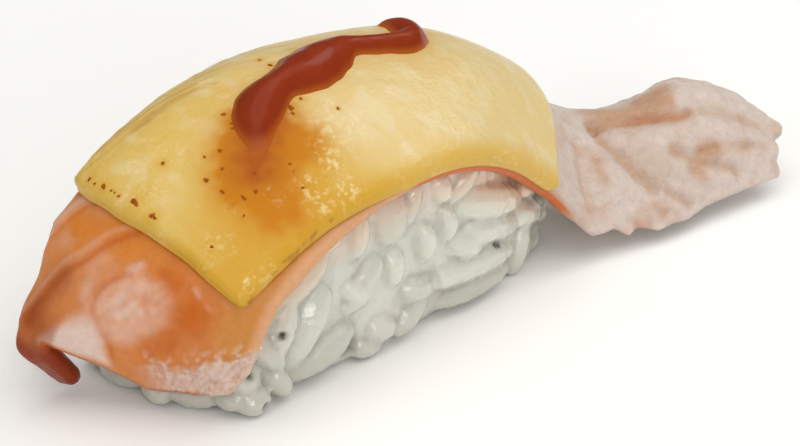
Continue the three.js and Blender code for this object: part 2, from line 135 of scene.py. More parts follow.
RICE = {"left": -34.3, "right": 31.2, "half_width": 12.3, "top": 30.0, "foot_height": 3.2}
FOOT_INSET = {"far_left": 0.3, "elsewhere": 2.0}
RICE_SQUARENESS = {"near_left": 6.0, "far_left": 8.0, "right": 2.8}
LEFT_STEP = {"by": 3.8, "from_y": 1.5, "to_y": -6.5}
RICE_MIDDLE_X = (RICE["left"] + RICE["right"]) / 2
RICE_HALF_LENGTH = (RICE["right"] - RICE["left"]) / 2
CORE_INSET = 0.8
HOLLOW_BEND = 0.03  # mm that a vertex lies under its neighbours in a sharp crease
NEAR_GRAINS = np.array([  # x, height, length, width and turn in degrees of the grains on the near face
    [-3.1, 11.0, 5.4, 3.2, 90], [-4.5, 18.1, 7.2, 5.2, 90], [-10.0, 18.0, 6.0, 3.6, 81],
    [1.8, 12.6, 5.4, 3.2, 95], [5.9, 13.7, 4.6, 2.8, 96], [14.3, 13.4, 13.0, 4.6, 163],
    [15.3, 9.2, 13.1, 4.2, 163], [10.9, 5.6, 17.0, 3.8, 173], [11.1, 2.6, 14.9, 3.4, 179],
    [-9.5, 10.9, 8.8, 4.2, 44], [-18.9, 8.8, 11.6, 4.4, 57], [-16.4, 4.2, 10.9, 4.6, 18],
    [-25.2, 7.5, 6.5, 3.4, 130], [-28.0, 3.9, 5.6, 4.4, 96], [-6.1, 3.7, 5.0, 4.2, 158],
    [-8.2, 1.6, 5.2, 3.4, 171], [-23.6, 2.9, 5.0, 3.4, 123], [-15.8, 19.3, 7.0, 3.4, 17],
    [-19.5, 15.5, 9.6, 4.4, 38], [9.5, 9.3, 6.4, 3.8, 150], [0.6, 6.4, 6.8, 4.2, 169],
    [-10.7, 10.1, 5.6, 3.4, 132], [4.8, 18.8, 4.6, 3.4, 116], [24.5, 12.0, 8.0, 4.2, 170],
    [24.0, 7.5, 8.5, 3.8, 160],
])
LEFT_GRAINS = np.array([  # x, y, height, length, width and turn in plan of the grains under the hem
    [-32.3, 10.9, 1.8, 4.8, 3.4, 80], [-33.2, 5.8, 1.5, 7.4, 3.0, 95],
    [-33.0, -0.4, 2.2, 5.2, 4.0, 72], [-30.9, -4.6, 1.6, 6.6, 3.2, 116],
    [-29.0, -8.6, 2.4, 5.2, 4.0, 80], [-27.2, -10.9, 1.9, 5.2, 3.8, 140],
])
RICE_GAPS = np.array([  # x, height and radius of gaps between the grains of the near face, dented and painted dark as shade
    [-23.3, 9.7, 0.5], [-27.9, 6.9, 0.8], [-27.3, 5.9, 0.7], [-11.2, 3.4, 0.9],
    [-11.3, 2.4, 0.7], [15.5, 6.6, 0.3], [16.2, 6.4, 0.3], [-26.4, 1.5, 0.5],
])

# ---------------------------------------------------------------- marks on the slice, as (row, v) lines

FLAKE_EDGE = [
    (1.22, 0.99), (1.46, 0.95), (1.78, 0.84), (2.13, 0.7), (2.39, 0.54), (2.74, 0.4), (2.95, 0.25),
    (3.06, 0.14),
]
CORNER_FLAKE_EDGE = [(2.8, 0.96), (2.99, 0.91), (3.17, 0.84), (3.29, 0.7)]
CORNER_BLUSH = [(2.78, 0.72), (2.65, 0.76), (2.5, 0.62)]
# a pale fold of fat, its whiteness partly a painted highlight
FOLD = [(1.62, 0.35), (1.02, 0.8), (0.58, 0.22), (1.05, 0.2), (1.3, 0.27)]
FOLD_LINE = [(1.5, 0.37), (1.81, 0.41), (2.28, 0.36)]
MEDALLION = [
    (2.3, 0.02), (2.19, 0.1), (1.88, 0.28), (1.59, 0.32), (1.39, 0.29), (1.18, 0.23), (1.0, 0.05),
    (1.15, -0.15), (1.5, -0.33), (1.9, -0.33), (2.25, -0.2),
]
MEDALLION_RIM = [
    (2.27, 0.02), (2.19, 0.1), (2.08, 0.19), (1.88, 0.28), (1.59, 0.32), (1.39, 0.29), (1.18, 0.23),
    (0.89, 0.16), (0.66, 0.18),
]
# pale fat streaks in the medallion, partly a painted highlight
MEDALLION_STREAKS = [
    [(2.24, 0.13), (2.41, 0.04), (2.55, -0.04)],
    [(1.93, -0.01), (2.09, -0.07), (2.23, -0.1)],
    [(1.6, 0.22), (1.78, 0.1), (1.95, 0.02)],
    [(1.45, 0.14), (1.55, 0.04), (1.6, -0.06)],
    [(1.5, -0.16), (1.7, -0.05), (1.8, 0.0)],
]
MEDALLION_SWIRLS = [
    [(2.07, -0.14), (1.91, -0.11), (1.68, -0.15), (1.47, -0.2)],
    [(1.86, -0.12), (1.82, -0.19), (1.86, -0.28)],
]
SHOULDER_BLUSH = [(1.95, 0.42), (2.3, 0.35), (2.65, 0.28)]
DEEP_PATCH = [(1.31, -0.58), (1.77, -0.68), (2.12, -0.56), (2.25, -0.43), (1.82, -0.38), (1.39, -0.4)]
DEEP_STROKES = [
    [(2.56, -0.1), (2.37, -0.26), (2.2, -0.4)],
    [(1.03, -0.05), (0.98, -0.21), (1.12, -0.36), (1.4, -0.45)],
]
SHADE_UNDER_FLAKE = [(1.05, 0.93), (1.5, 0.86), (1.9, 0.72), (2.2, 0.55)]
PALE_LINE = [(2.38, -0.44), (2.12, -0.53), (1.92, -0.64), (1.62, -0.76)]
HEM_BAND_TOP = [(0.6, -0.12), (0.62, -0.23), (0.56, -0.52), (0.82, -0.71), (0.95, -0.88), (1.35, -1.04)]
LOBE_TOP = [(1.35, 1.02), (1.03, 0.75), (0.89, 0.59), (0.78, 0.45), (0.7, 0.34)]
TAIL_CREASES = [  # line, depth, half width
    (
        [
            (9.51, 0.09), (9.63, 0.1), (9.99, 0.2), (10.27, 0.15), (10.51, 0.03), (10.74, -0.04),
            (11.0, -0.02),
        ],
        0.9,
        1.3,
    ),
    ([(11.0, -0.02), (11.21, -0.08), (11.48, -0.17), (11.84, -0.31)], 0.35, 0.9),
    (
        [
            (9.6, 0.29), (9.55, -0.03), (9.67, -0.25), (9.83, -0.46), (9.98, -0.64), (10.15, -0.78),
        ],
        0.9,
        1.2,
    ),
    ([(10.15, -0.78), (10.36, -0.86), (10.5, -0.97)], 0.5, 1.0),
    (
        [
            (10.54, -0.33), (10.52, -0.47), (10.66, -0.57), (10.84, -0.68), (11.14, -0.78), (11.3, -0.93),
        ],
        0.5,
        0.9,
    ),
    ([(10.7, -0.54), (10.9, -0.56), (11.13, -0.56), (11.45, -0.57), (11.81, -0.64)], 0.3, 0.7),
    ([(9.18, -0.25), (9.04, -0.51), (9.0, -0.74), (9.02, -0.85), (9.06, -0.97)], 0.35, 0.8),
]
# painted shadow along the tail's upper crease
TAIL_CREASE_SHADOW = [(9.9, 0.2), (10.23, 0.17), (10.47, 0.05), (10.76, -0.06), (10.9, -0.03), (11.06, 0.0)]
TAIL_TAN_BAND = [(9.35, 0.5), (9.91, 0.36), (10.33, 0.3), (10.69, 0.24), (10.87, 0.18)]
TAIL_TAN_STROKES = [
    [(10.2, 0.6), (10.65, 0.54), (10.93, 0.5)],
    [(9.42, -0.78), (9.32, -0.55), (9.36, -0.38)],
    [(9.9, -0.82), (10.05, -0.9), (10.16, -0.97)],
    [(10.56, -0.62), (10.68, -0.71), (10.85, -0.86)],
    [(10.75, -0.5), (10.95, -0.54), (11.15, -0.56)],
]
TAIL_SHADE = [(9.7, -0.2), (9.95, -0.4), (10.2, -0.55), (10.4, -0.68)]
TAIL_BUMPS = [
    (9.8, -0.01), (9.92, -0.12), (10.12, -0.02), (10.23, -0.16), (10.68, -0.33), (10.87, -0.33),
    (10.98, -0.4), (10.96, -0.5), (10.62, -0.42), (10.75, -0.46), (9.35, -0.62), (9.5, -0.8),
    (9.2, -0.85), (9.65, -0.9), (10.5, -0.72), (10.66, -0.8), (9.9, -0.95), (10.3, -0.3),
]
STAIN_STROKES = [  # line, half width, strength
    ([(4.25, -0.27), (4.1, -0.31), (4.0, -0.35), (3.86, -0.43), (3.75, -0.52), (3.69, -0.62)], 3.9, 1.5),
    ([(4.25, -0.28), (4.21, -0.4), (4.31, -0.47), (4.47, -0.47)], 2.9, 1.3),
    ([(4.3, -0.16), (4.05, -0.22), (3.85, -0.28), (3.71, -0.33)], 2.6, 1.1),
]
CREAM_GLARE = [(4.6, -0.5), (4.9, -0.55), (5.2, -0.5)]
STAIN_CORE = [(4.55, -0.15), (4.3, -0.25), (4.1, -0.31), (3.95, -0.38)]
STAIN_RING = [
    (4.0, -0.15), (3.8, -0.24), (3.62, -0.4), (3.62, -0.58), (3.75, -0.74), (4.0, -0.66), (4.25, -0.6),
]
CRINKLES = [  # line, half width of the crinkled patches, whose pale glints are painted
    ([(4.2, -0.63), (4.05, -0.75), (3.98, -0.85), (3.99, -0.94)], 1.5),
    ([(4.41, -0.79), (4.35, -0.88), (4.24, -0.82)], 1.3),
    ([(3.8, -0.47), (3.77, -0.6), (3.72, -0.66)], 0.8),
    ([(2.66, -0.74), (2.72, -0.83)], 0.8),
    ([(4.37, -0.54), (4.5, -0.6), (4.49, -0.69), (4.6, -0.75)], 1.8),
]
BURNT_STROKE = [(2.3, -0.84), (2.42, -0.87), (2.55, -0.92)]
CUT_GLIMPSES = [(5.2, -1.0), (5.9, -1.0), (6.6, -1.0), (7.3, -1.0), (8.1, -1.0)]
LOBE_SHADE = [(1.5, 1.0), (1.25, 0.8), (1.05, 0.62)]
CHEESE_BURNT_EDGE = [
    (2.3, -0.8), (2.49, -0.84), (2.76, -0.87), (3.15, -0.89), (3.47, -0.92), (3.8, -0.93), (4.1, -0.95),
]
FAR_SINGES = [  # line, half width, strength
    (
        [
            (3.45, 0.99), (3.65, 0.95), (3.93, 0.88), (4.29, 0.8), (4.71, 0.74), (5.04, 0.8),
            (5.37, 0.85),
        ],
        1.7,
        0.8,
    ),
    ([(3.98, 0.75), (4.1, 0.7), (4.4, 0.64), (4.58, 0.58), (4.71, 0.54), (4.77, 0.45)], 0.8, 0.7),
    ([(5.2, 0.75), (5.48, 0.6), (5.55, 0.31)], 1.1, 0.8),
]
SAUCE_SHOULDERS = [  # line, half width of lighter, thinner sauce on the bulges' right flanks, with a painted sheen
    ([(4.84, -0.18), (4.67, -0.28), (4.48, -0.35), (4.33, -0.36)], 1.3),
    ([(4.38, -0.02), (4.22, -0.12), (4.06, -0.23)], 1.0),
]
SCORCH_SPECKS = [  # row, v, size across in mm
    (4.77, -0.22, 1.09), (4.72, -0.27, 0.69), (3.34, 0.59, 0.8), (3.25, 0.41, 0.54), (3.22, 0.26, 1.15),
    (3.19, 0.23, 0.69), (3.12, 0.07, 0.92), (3.1, 0.04, 0.68), (3.66, 0.23, 0.68), (3.62, -0.15, 0.8),
    (3.57, -0.3, 0.61), (3.94, -0.1, 0.69), (4.36, 0.11, 0.68), (4.28, -0.01, 0.54), (3.87, -0.41, 0.68),
    (4.16, -0.54, 0.68), (4.01, -0.7, 0.47), (5.1, -0.42, 0.47), (3.43, 0.77, 0.74), (2.98, -0.45, 0.47),
    (4.23, -0.05, 0.69), (4.11, -0.24, 0.68), (5.16, 0.27, 0.68), (5.19, 0.41, 0.47), (4.11, -0.59, 0.41),
    (3.71, -0.49, 0.61), (3.44, -0.52, 0.41), (3.37, 0.69, 0.47), (3.3, 0.5, 0.41), (3.28, 0.46, 0.34),
    (4.94, -0.2, 0.54), (3.83, -0.03, 0.47), (3.78, -0.2, 0.54), (3.6, -0.45, 0.68),
]
TAIL_EDGE_GLOW = [(9.6, -1.0), (9.72, -0.99), (9.9, -0.99)]
MARKS = {  # kind of mark: lines, their strength, half width in mm and share that fades at each end
    "relief": [
        (MEDALLION_STREAKS, 0.07, 0.5, 0.12),
        ([PALE_LINE], 0.07, 0.4, 0.12),
        ([MEDALLION_RIM], -0.12, 0.5, 0.12),
        (MEDALLION_SWIRLS, -0.05, 0.4, 0.3),
    ],
    "streaks": [(MEDALLION_STREAKS, 0.6, 0.6, 0.3)],
    "fold line": [([FOLD_LINE], 0.4, 0.8, 0.45)],
    "pale line": [([PALE_LINE], 0.3, 0.35, 0.12)],
    "hem skin": [([HEM_BAND_TOP], 0.5, 2.0, 0.12)],
    "hem wrinkles": [([HEM_BAND_TOP], 0.7, 2.4, 0.12)],
    "hem bump": [([HEM_BAND_TOP], 0.6, 2.2, 0.12)],
    "corner blush": [([CORNER_BLUSH], 0.5, 2.0, 0.5)],
    "shoulder blush": [([SHOULDER_BLUSH], 0.5, 3.0, 0.3)],
    "deep": [
        (DEEP_STROKES, 0.7, 1.5, 0.3),
        ([MEDALLION_RIM], 0.6, 0.42, 0.06),
        (MEDALLION_SWIRLS, 0.35, 0.4, 0.3),
    ],
    "shade": [([SHADE_UNDER_FLAKE], 0.8, 1.8, 0.25)],
    "dark": [([LOBE_SHADE], 0.55, 2.2, 0.12)],
    "cut": [([CUT_GLIMPSES], 0.8, 0.8, 0.12)],
    "tan": [([TAIL_TAN_BAND], 0.95, 2.3, 0.2), (TAIL_TAN_STROKES, 0.7, 1.1, 0.3)],
    "dull": [([TAIL_SHADE], 1.0, 2.6, 0.2)],
    "red": [([TAIL_CREASE_SHADOW], 0.8, 0.8, 0.25)],
    "edge glow": [([TAIL_EDGE_GLOW], 1.0, 0.7, 0.12)],
    "stain": [([line], strength, width, 0) for line, width, strength in STAIN_STROKES],
    "under sauce": [([SAUCE_LINE[2:, :2]], 0.3, 3.6, 0.05)],
    "stain ring": [([STAIN_RING], 0.9, 3.2, 0)],
    "soaked": [([STAIN_CORE], 1.2, 2.7, 0)],
    "singe": [([line], strength, width, 0.12) for line, width, strength in FAR_SINGES],
    "far wrinkles": [([line], 1.0, width, 0.12) for line, width, _ in FAR_SINGES],
    "crinkles": [([line], 1.0, width, 0.25) for line, width in CRINKLES],
    "glare crinkle": [([CREAM_GLARE], 0.5, 4.0, 0.12)],
    "glare cream": [([CREAM_GLARE], 0.9, 3.4, 0.12)],
    "burnt stroke": [([BURNT_STROKE], 0.9, 0.35, 0.12)],
    "burnt edge": [([CHEESE_BURNT_EDGE], 0.7, 0.16, 0.12)],
    "sauce shoulders": [([line], 1.0, width, 0.2) for line, width in SAUCE_SHOULDERS],
}


# ---------------------------------------------------------------- small tools

NOISE_STRIDE = 17.3  # how far apart in the noise two seeds lie


def smooth_step(start, end, x):
    """0 before start and 1 past end, with a soft rise between; start may be the greater of the two."""
    t = np.clip((np.asarray(x, float) - start) / (end - start), 0, 1)
    return t * t * (3 - 2 * t)


def lerp(a, b, t):
    return a + (b - a) * t


def crowded(count, share):
    """Steps from 0 to 1 that are shorter near both ends, the more so the greater share is."""
    x = np.linspace(-1, 1, count + 1)
    return 0.5 + 0.5 * lerp(x, np.sin(np.pi * x / 2), share)


def unit(vectors):
    """Vectors along the last axis, each made one long."""
    return vectors / np.maximum(np.linalg.norm(vectors, axis=-1, keepdims=True), 1e-9)


def read_curve(points, reading):
    """Reads a Catmull-Rom curve: 2.5 lies midway between its third and fourth points."""
    points = np.asarray(points, float)
    last = len(points) - 1
    padded = np.concatenate([[2 * points[0] - points[1]], points, [2 * points[-1] - points[-2]]])
    reading = np.clip(np.asarray(reading, float), 0, last)
    first = np.minimum(reading.astype(int), last - 1)
    t = (reading - first)[..., None]
    a, b, c, d = (padded[first + k] for k in range(4))
    return b + 0.5 * t * (c - a + t * (2 * a - 5 * b + 4 * c - d + t * (3 * (b - c) + d - a)))


def wander(points, size, seed):
    """Smooth noise from -1 to 1 at points in mm, in lumps of about that size."""
    spots = points.reshape(-1, 3) / size + NOISE_STRIDE * seed
    return np.array([noise.noise(spot) for spot in spots.tolist()]).reshape(points.shape[:-1])


def ridge(distance, width):
    """A soft ridge: 1 where distance is 0, about a third where it is width."""
    return np.exp(-((distance / width) ** 2))


def search_tree(points):
    """A tree that finds the nearest of the points."""
    tree = KDTree(len(points))
    for k, point in enumerate(points.tolist()):
        tree.insert(point, k)
    tree.balance()
    return tree


# ---------------------------------------------------------------- the slice's upper face

NORMAL_STEP = 0.01  # row or v between the points that a normal is worked out from
SPOTS_PER_STRETCH = 16  # places looked at on each stretch of a (row, v) line


def slice_point(row, v):
    near, crown, far = (read_curve(SLICE_ROWS[:, k], row) for k in range(3))
    middle = (near + far) / 2
    v = np.asarray(v, float)[..., None]
    return middle + v * (far - near) / 2 + (crown - middle) * (1 - np.abs(v) ** SHOULDER_POWER)


def slice_normal(row, v):
    row = np.asarray(row, float)
    before, after = np.maximum(row - NORMAL_STEP, 0), np.minimum(row + NORMAL_STEP, LAST_ROW)
    along = slice_point(after, v) - slice_point(before, v)
    across = slice_point(row, v + NORMAL_STEP) - slice_point(row, v - NORMAL_STEP)
    return unit(np.cross(along, across))


def off_slice(row, v, height):
    """Points at a height in mm above the slice's upper face, or below it where that is negative."""
    return slice_point(row, v) + slice_normal(row, v) * np.asarray(height, float)[..., None]


def line_distance(points, line):
    """How far points in mm lie from a (row, v) line: positive on its left as seen from above.

    The second result is how far along the line the nearest place is, from 0 to 1.
    """
    stretches = len(line) - 1
    spots = read_curve(line, np.linspace(0, stretches, SPOTS_PER_STRETCH * stretches + 1))
    places = slice_point(spots[:, 0], spots[:, 1])
    ahead = np.gradient(places, axis=0)
    step = np.linalg.norm(ahead, axis=1, keepdims=True)
    ahead /= step
    left = np.cross(slice_normal(spots[:, 0], spots[:, 1]), ahead)
    flat = points.reshape(-1, 3)
    squares = (flat**2).sum(1)[:, None] + (places**2).sum(1) - 2 * flat @ places.T
    nearest = squares.argmin(1)
    apart = flat - places[nearest]
    forward = (apart * ahead[nearest]).sum(1)
    forward = np.clip(forward, -step[nearest, 0], step[nearest, 0])
    apart -= forward[:, None] * ahead[nearest]
    side = np.sign((apart * left[nearest]).sum(1))
    distance = np.linalg.norm(apart, axis=1) * side
    return distance.reshape(points.shape[:-1]), (nearest / (len(places) - 1)).reshape(points.shape[:-1])


def drawn(points, kind):
    """The sum of one kind's soft marks, which fade at their lines' ends or, if fade is 0, go round them."""
    total = 0
    for lines, strength, width, fade in MARKS[kind]:
        for line in lines:
            total = total + strength * marked(points, line, width, fade)
    return total


def marked(points, line, width, fade):
    """A soft mark along one (row, v) line, 1 at its middle."""
    distance, along = line_distance(points, line)
    if not fade:
        return ridge(distance, width)
    return ridge(distance, width) * smooth_step(0, fade, along) * smooth_step(1, 1 - fade, along)


def patch(row, v, corners, soft):
    """1 inside an outline of (row, v) corners that runs anticlockwise, fading out over soft mm."""
    x, y = row * ROW_LENGTH, v * V_LENGTH
    corners = np.array(corners) * (ROW_LENGTH, V_LENGTH)
    inside = np.full(np.shape(x), np.inf)
    for start, end in zip(corners, np.roll(corners, -1, 0)):
        way = unit(end - start)
        inside = np.minimum(inside, way[0] * (y - start[1]) - way[1] * (x - start[0]))
    return smooth_step(-soft, soft, inside)


def fibres(row, v, slope, length, width, seed):
    """Smooth noise from -1 to 1 in streaks of a length and width in mm that rise by slope in v for row."""
    x, y = row * ROW_LENGTH, v * V_LENGTH
    turn = math.atan(slope)
    along = x * math.cos(turn) + y * math.sin(turn)
    across = y * math.cos(turn) - x * math.sin(turn)
    return wander(np.stack([along / length, across / width, 0 * along], -1), 1.0, seed)


# ---------------------------------------------------------------- meshes

RIM_STEPS = 4  # rows of points round the rounded rim of a slab


def in_metres(points):
    """Places in mm from the middle of the rice as places in metres from the part's origin."""
    return (np.asarray(points, float) - FOOTPRINT_MIDDLE) * MM


def loose_object(name, vertices, faces):
    """A smooth object outside the scene, its vertices in metres."""
    mesh = bpy.data.meshes.new(name)
    mesh.from_pydata(vertices, [], faces)
    mesh.shade_smooth()
    return bpy.data.objects.new(name, mesh)


def add_attributes(mesh, values):
    """One attribute of the mesh's points for each named array: numbers, or vectors from rows of three."""
    for key, array in values.items():
        kind, field = ("FLOAT_VECTOR", "vector") if np.ndim(array) == 2 else ("FLOAT", "value")
        attribute = mesh.attributes.new(key, kind, "POINT")
        attribute.data.foreach_set(field, np.ascontiguousarray(array, dtype=np.float32).ravel())


def make_mesh(name, vertices, faces, values=None, uv=None):
    """A smooth mesh object in the scene from points in mm, with an attribute for each named array."""
    obj = loose_object(name, in_metres(vertices).tolist(), np.asarray(faces).tolist())
    mesh = obj.data
    add_attributes(mesh, values or {})
    if uv is not None:
        corners = np.zeros(len(mesh.loops), np.int32)
        mesh.loops.foreach_get("vertex_index", corners)
        layer = mesh.uv_layers.new(name="UVMap")
        layer.data.foreach_set("uv", uv[corners].astype(np.float32).ravel())
    bpy.context.scene.collection.objects.link(obj)
    return obj


def slab(upper, lower, bulge, values, uv):
    """A closed shell round two grids of points, its rim rounded outwards by bulge times its half height.

    Returns vertices, faces, the values carried to every vertex with "rim" added, and the UVs.
    """
    along, across = upper.shape[0] - 1, upper.shape[1] - 1
    i, j = np.arange(along + 1), np.arange(across + 1)
    loop_i = np.concatenate([i[:-1], np.full(across, along), i[:0:-1], np.zeros(across, int)])
    loop_j = np.concatenate([np.zeros(along, int), j[:-1], np.full(along, across), j[:0:-1]])
    top, bottom = upper[loop_i, loop_j], lower[loop_i, loop_j]
    rise = top - bottom
    outward = unit(np.cross(np.roll(top, -1, 0) - np.roll(top, 1, 0), rise))
    reach = outward * np.linalg.norm(rise, axis=1, keepdims=True) / 2 * bulge
    turns = np.linspace(0, np.pi, RIM_STEPS + 2)[1:-1]
    rows = [(top + bottom) / 2 + rise / 2 * np.cos(turn) + reach * np.sin(turn) for turn in turns]
    vertices = np.concatenate([upper.reshape(-1, 3), lower.reshape(-1, 3), *rows])
    size = upper.shape[0] * upper.shape[1]
    index = np.arange(size).reshape(upper.shape[:2])
    a, b, c, d = index[:-1, :-1], index[1:, :-1], index[1:, 1:], index[:-1, 1:]
    faces = [np.stack([a, b, c, d], -1).reshape(-1, 4), np.stack([a, d, c, b], -1).reshape(-1, 4) + size]
    loop = index[loop_i, loop_j]
    rings = [loop]
    rings += [2 * size + k * len(loop) + np.arange(len(loop)) for k in range(RIM_STEPS)]
    rings.append(loop + size)
    for above, below in zip(rings, rings[1:]):
        faces.append(np.stack([above, below, np.roll(below, -1), np.roll(above, -1)], -1))
    carried = {
        key: np.concatenate([array.ravel(), array.ravel(), np.tile(array[loop_i, loop_j], RIM_STEPS)])
        for key, array in values.items()
    }
    carried["rim"] = np.concatenate([np.zeros(size), np.ones(size + RIM_STEPS * len(loop))])
    grid_uv = uv.reshape(-1, 2)
    uvs = np.concatenate([grid_uv, grid_uv, np.tile(uv[loop_i, loop_j], (RIM_STEPS, 1))])
    return vertices, np.concatenate(faces), carried, uvs


def scatter_on(obj, tree, values):
    """Gives an object a Geometry Nodes modifier and sets its inputs by their sockets' identifiers."""
    modifier = obj.modifiers.new("Scatter", "NODES")
    modifier.node_group = tree
    sockets = {item.name: item.identifier for item in tree.interface.items_tree if item.in_out == "INPUT"}
    for name, value in values.items():
        modifier[sockets[name]] = value


def settle(obj):
    """Makes what an object's modifiers show its plain mesh."""
    bpy.context.view_layer.update()
    graph = bpy.context.evaluated_depsgraph_get()
    mesh = bpy.data.meshes.new_from_object(
        obj.evaluated_get(graph), preserve_all_data_layers=True, depsgraph=graph
    )
    obj.modifiers.clear()
    obj.data = mesh
    mesh.name = obj.name


def hand_over(obj, slot, *nodes):
    """Puts a finished piece on the body in place of the solids that it stands for."""
    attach(obj, "root")
    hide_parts(*nodes)


# ---------------------------------------------------------------- nodes and materials


def find_socket(sockets, key):
    return next(socket for socket in sockets if key in (socket.identifier, socket.name))


def add_node(tree, kind, inputs=None, result=None, **settings):
    """Adds a node with its settings; each input is a value or an output to link. Returns one output."""
    node = tree.nodes.new(kind)
    for name, value in settings.items():
        setattr(node, name, value)
    for key, value in (inputs or {}).items():
        socket = find_socket(node.inputs, key)
        if isinstance(value, bpy.types.NodeSocket):
            tree.links.new(value, socket)
        else:
            socket.default_value = value
    if result:
        return find_socket(node.outputs, result)
    return next((socket for socket in node.outputs if socket.enabled), None)


def new_material(name):
    material = bpy.data.materials.new(name)
    material.use_nodes = True
    material.node_tree.nodes.clear()
    return material, material.node_tree


def layered(tree, base, layers):
    """Lays tints over a base colour, each as strong as an attribute or an output, times a strength.

    The base and the tints are hex values or colours from the settings.
    """

    def full(colour):
        return (*(to_linear(colour) if isinstance(colour, str) else colour), 1)

    colour = full(base)
    for amount, tint, strength in layers:
        if isinstance(amount, str):
            amount = add_node(tree, "ShaderNodeAttribute", result="Fac", attribute_name=amount)
        factors = {"Value": amount, "Value_001": strength}
        amount = add_node(tree, "ShaderNodeMath", factors, operation="MULTIPLY", use_clamp=True)
        colours = {"Factor_Float": amount, "A_Color": colour, "B_Color": full(tint)}
        colour = add_node(tree, "ShaderNodeMix", colours, result="Result_Color", data_type="RGBA")
    return colour


def lumps(tree, size_mm, detail, roughness):
    """Noise from 0 to 1 on Object coordinates, with lumps of a size in mm."""
    place = add_node(tree, "ShaderNodeTexCoord", result="Object")
    inputs = {"Vector": place, "Scale": 1 / (size_mm * MM), "Detail": detail, "Roughness": roughness}
    return add_node(tree, "ShaderNodeTexNoise", inputs, result="Fac")


def roughened(tree, heights):
    """The normal of a surface with fine relief: heights, each with its strength and its depth in mm."""
    before = {}
    for height, strength, depth in heights:
        inputs = {"Height": height, "Strength": strength, "Distance": depth * MM, **before}
        before = {"Normal": add_node(tree, "ShaderNodeBump", inputs)}
    return before["Normal"]


def finished(material, inputs):
    """Gives a material its surface from the named inputs, and returns it."""
    tree = material.node_tree
    shader = add_node(tree, "ShaderNodeBsdfPrincipled", inputs)
    add_node(tree, "ShaderNodeOutputMaterial", {"Surface": shader})
    return material


def salmon_material(settings):
    """Raw Atlantic salmon, knife-cut and moist; its tail seared by a torch.

    The raw end is saturated orange with pale fat lines, light sinks into it and it carries a wet sheen;
    the seared tail is opaque, pale and nearly matt, tan in its creases. Shade is painted into the tail's
    creases, under the flakes and on the hanging lobe, and a highlight onto the fold and the medallion's
    streaks.
    """
    material, tree = new_material("Atlantic salmon, cut raw and torch-seared")
    layers = [
        (lumps(tree, 7.0, 3.0, 0.55), settings.bright_colour, 1.0),
        ("glow", "#CC7A26", 0.9),
        ("blush", "#D6A488", 0.9),
        ("deep", settings.deep_colour, 0.95),
        ("shade", "#96481C", 0.8),
        ("thin", "#C4843C", 0.85),
        ("pale", "#D9AC8A", 0.6),
        ("fat", settings.fat_colour, 0.95),
        ("seared", settings.seared_colour, 1.0),
        # painted shade along the tail's diagonal valley, and dull patches at random
        ("dull", "#B9A493", 0.7),
        # tan of the seared tail; in the creases it is also painted shade
        ("tan", "#B58A68", 0.85),
        # painted shadow in the tail's upper crease, with half the edge glow
        ("red", "#B07350", 0.85),
        ("cut", "#C4601C", 0.9),
        # painted shade on the hanging lobe
        ("dark", "#842C08", 0.95),
    ]
    colour = layered(tree, settings.raw_colour, layers)
    fibre = lumps(tree, 1.1, 4.0, 0.6)
    speckle = {"Value": fibre, "From Min": 0.3, "From Max": 0.7, "To Min": 0.93, "To Max": 1.06}
    speckled = {"Vector": colour, "Scale": add_node(tree, "ShaderNodeMapRange", speckle)}
    seared = add_node(tree, "ShaderNodeAttribute", result="Fac", attribute_name="seared")
    matt = {"Value": seared, "To Min": 0.32, "To Max": 0.55}
    wrinkled = add_node(tree, "ShaderNodeAttribute", result="Fac", attribute_name="wrinkled")
    wrinkles = (lumps(tree, 1.3, 3.0, 0.7), wrinkled, 0.9)
    pits = (lumps(tree, 0.55, 3.0, 0.6), 0.35, 0.1)
    relief = roughened(tree, [wrinkles, (fibre, 0.5, 0.25), pits])
    inputs = {
        "Base Color": add_node(tree, "ShaderNodeVectorMath", speckled, result="Vector", operation="SCALE"),
        "Roughness": add_node(tree, "ShaderNodeMapRange", matt),
        "IOR": 1.38,
        "Normal": relief,
        "Specular IOR Level": 0.12,
        "Subsurface Weight": 0.3,
        "Subsurface Radius": (1.0, 0.35, 0.1),
        "Subsurface Scale": 1.0 * MM,
        "Coat Weight": 0.3,
        "Coat Roughness": 0.12,
        "Coat Normal": relief,
    }
    return finished(material, inputs)


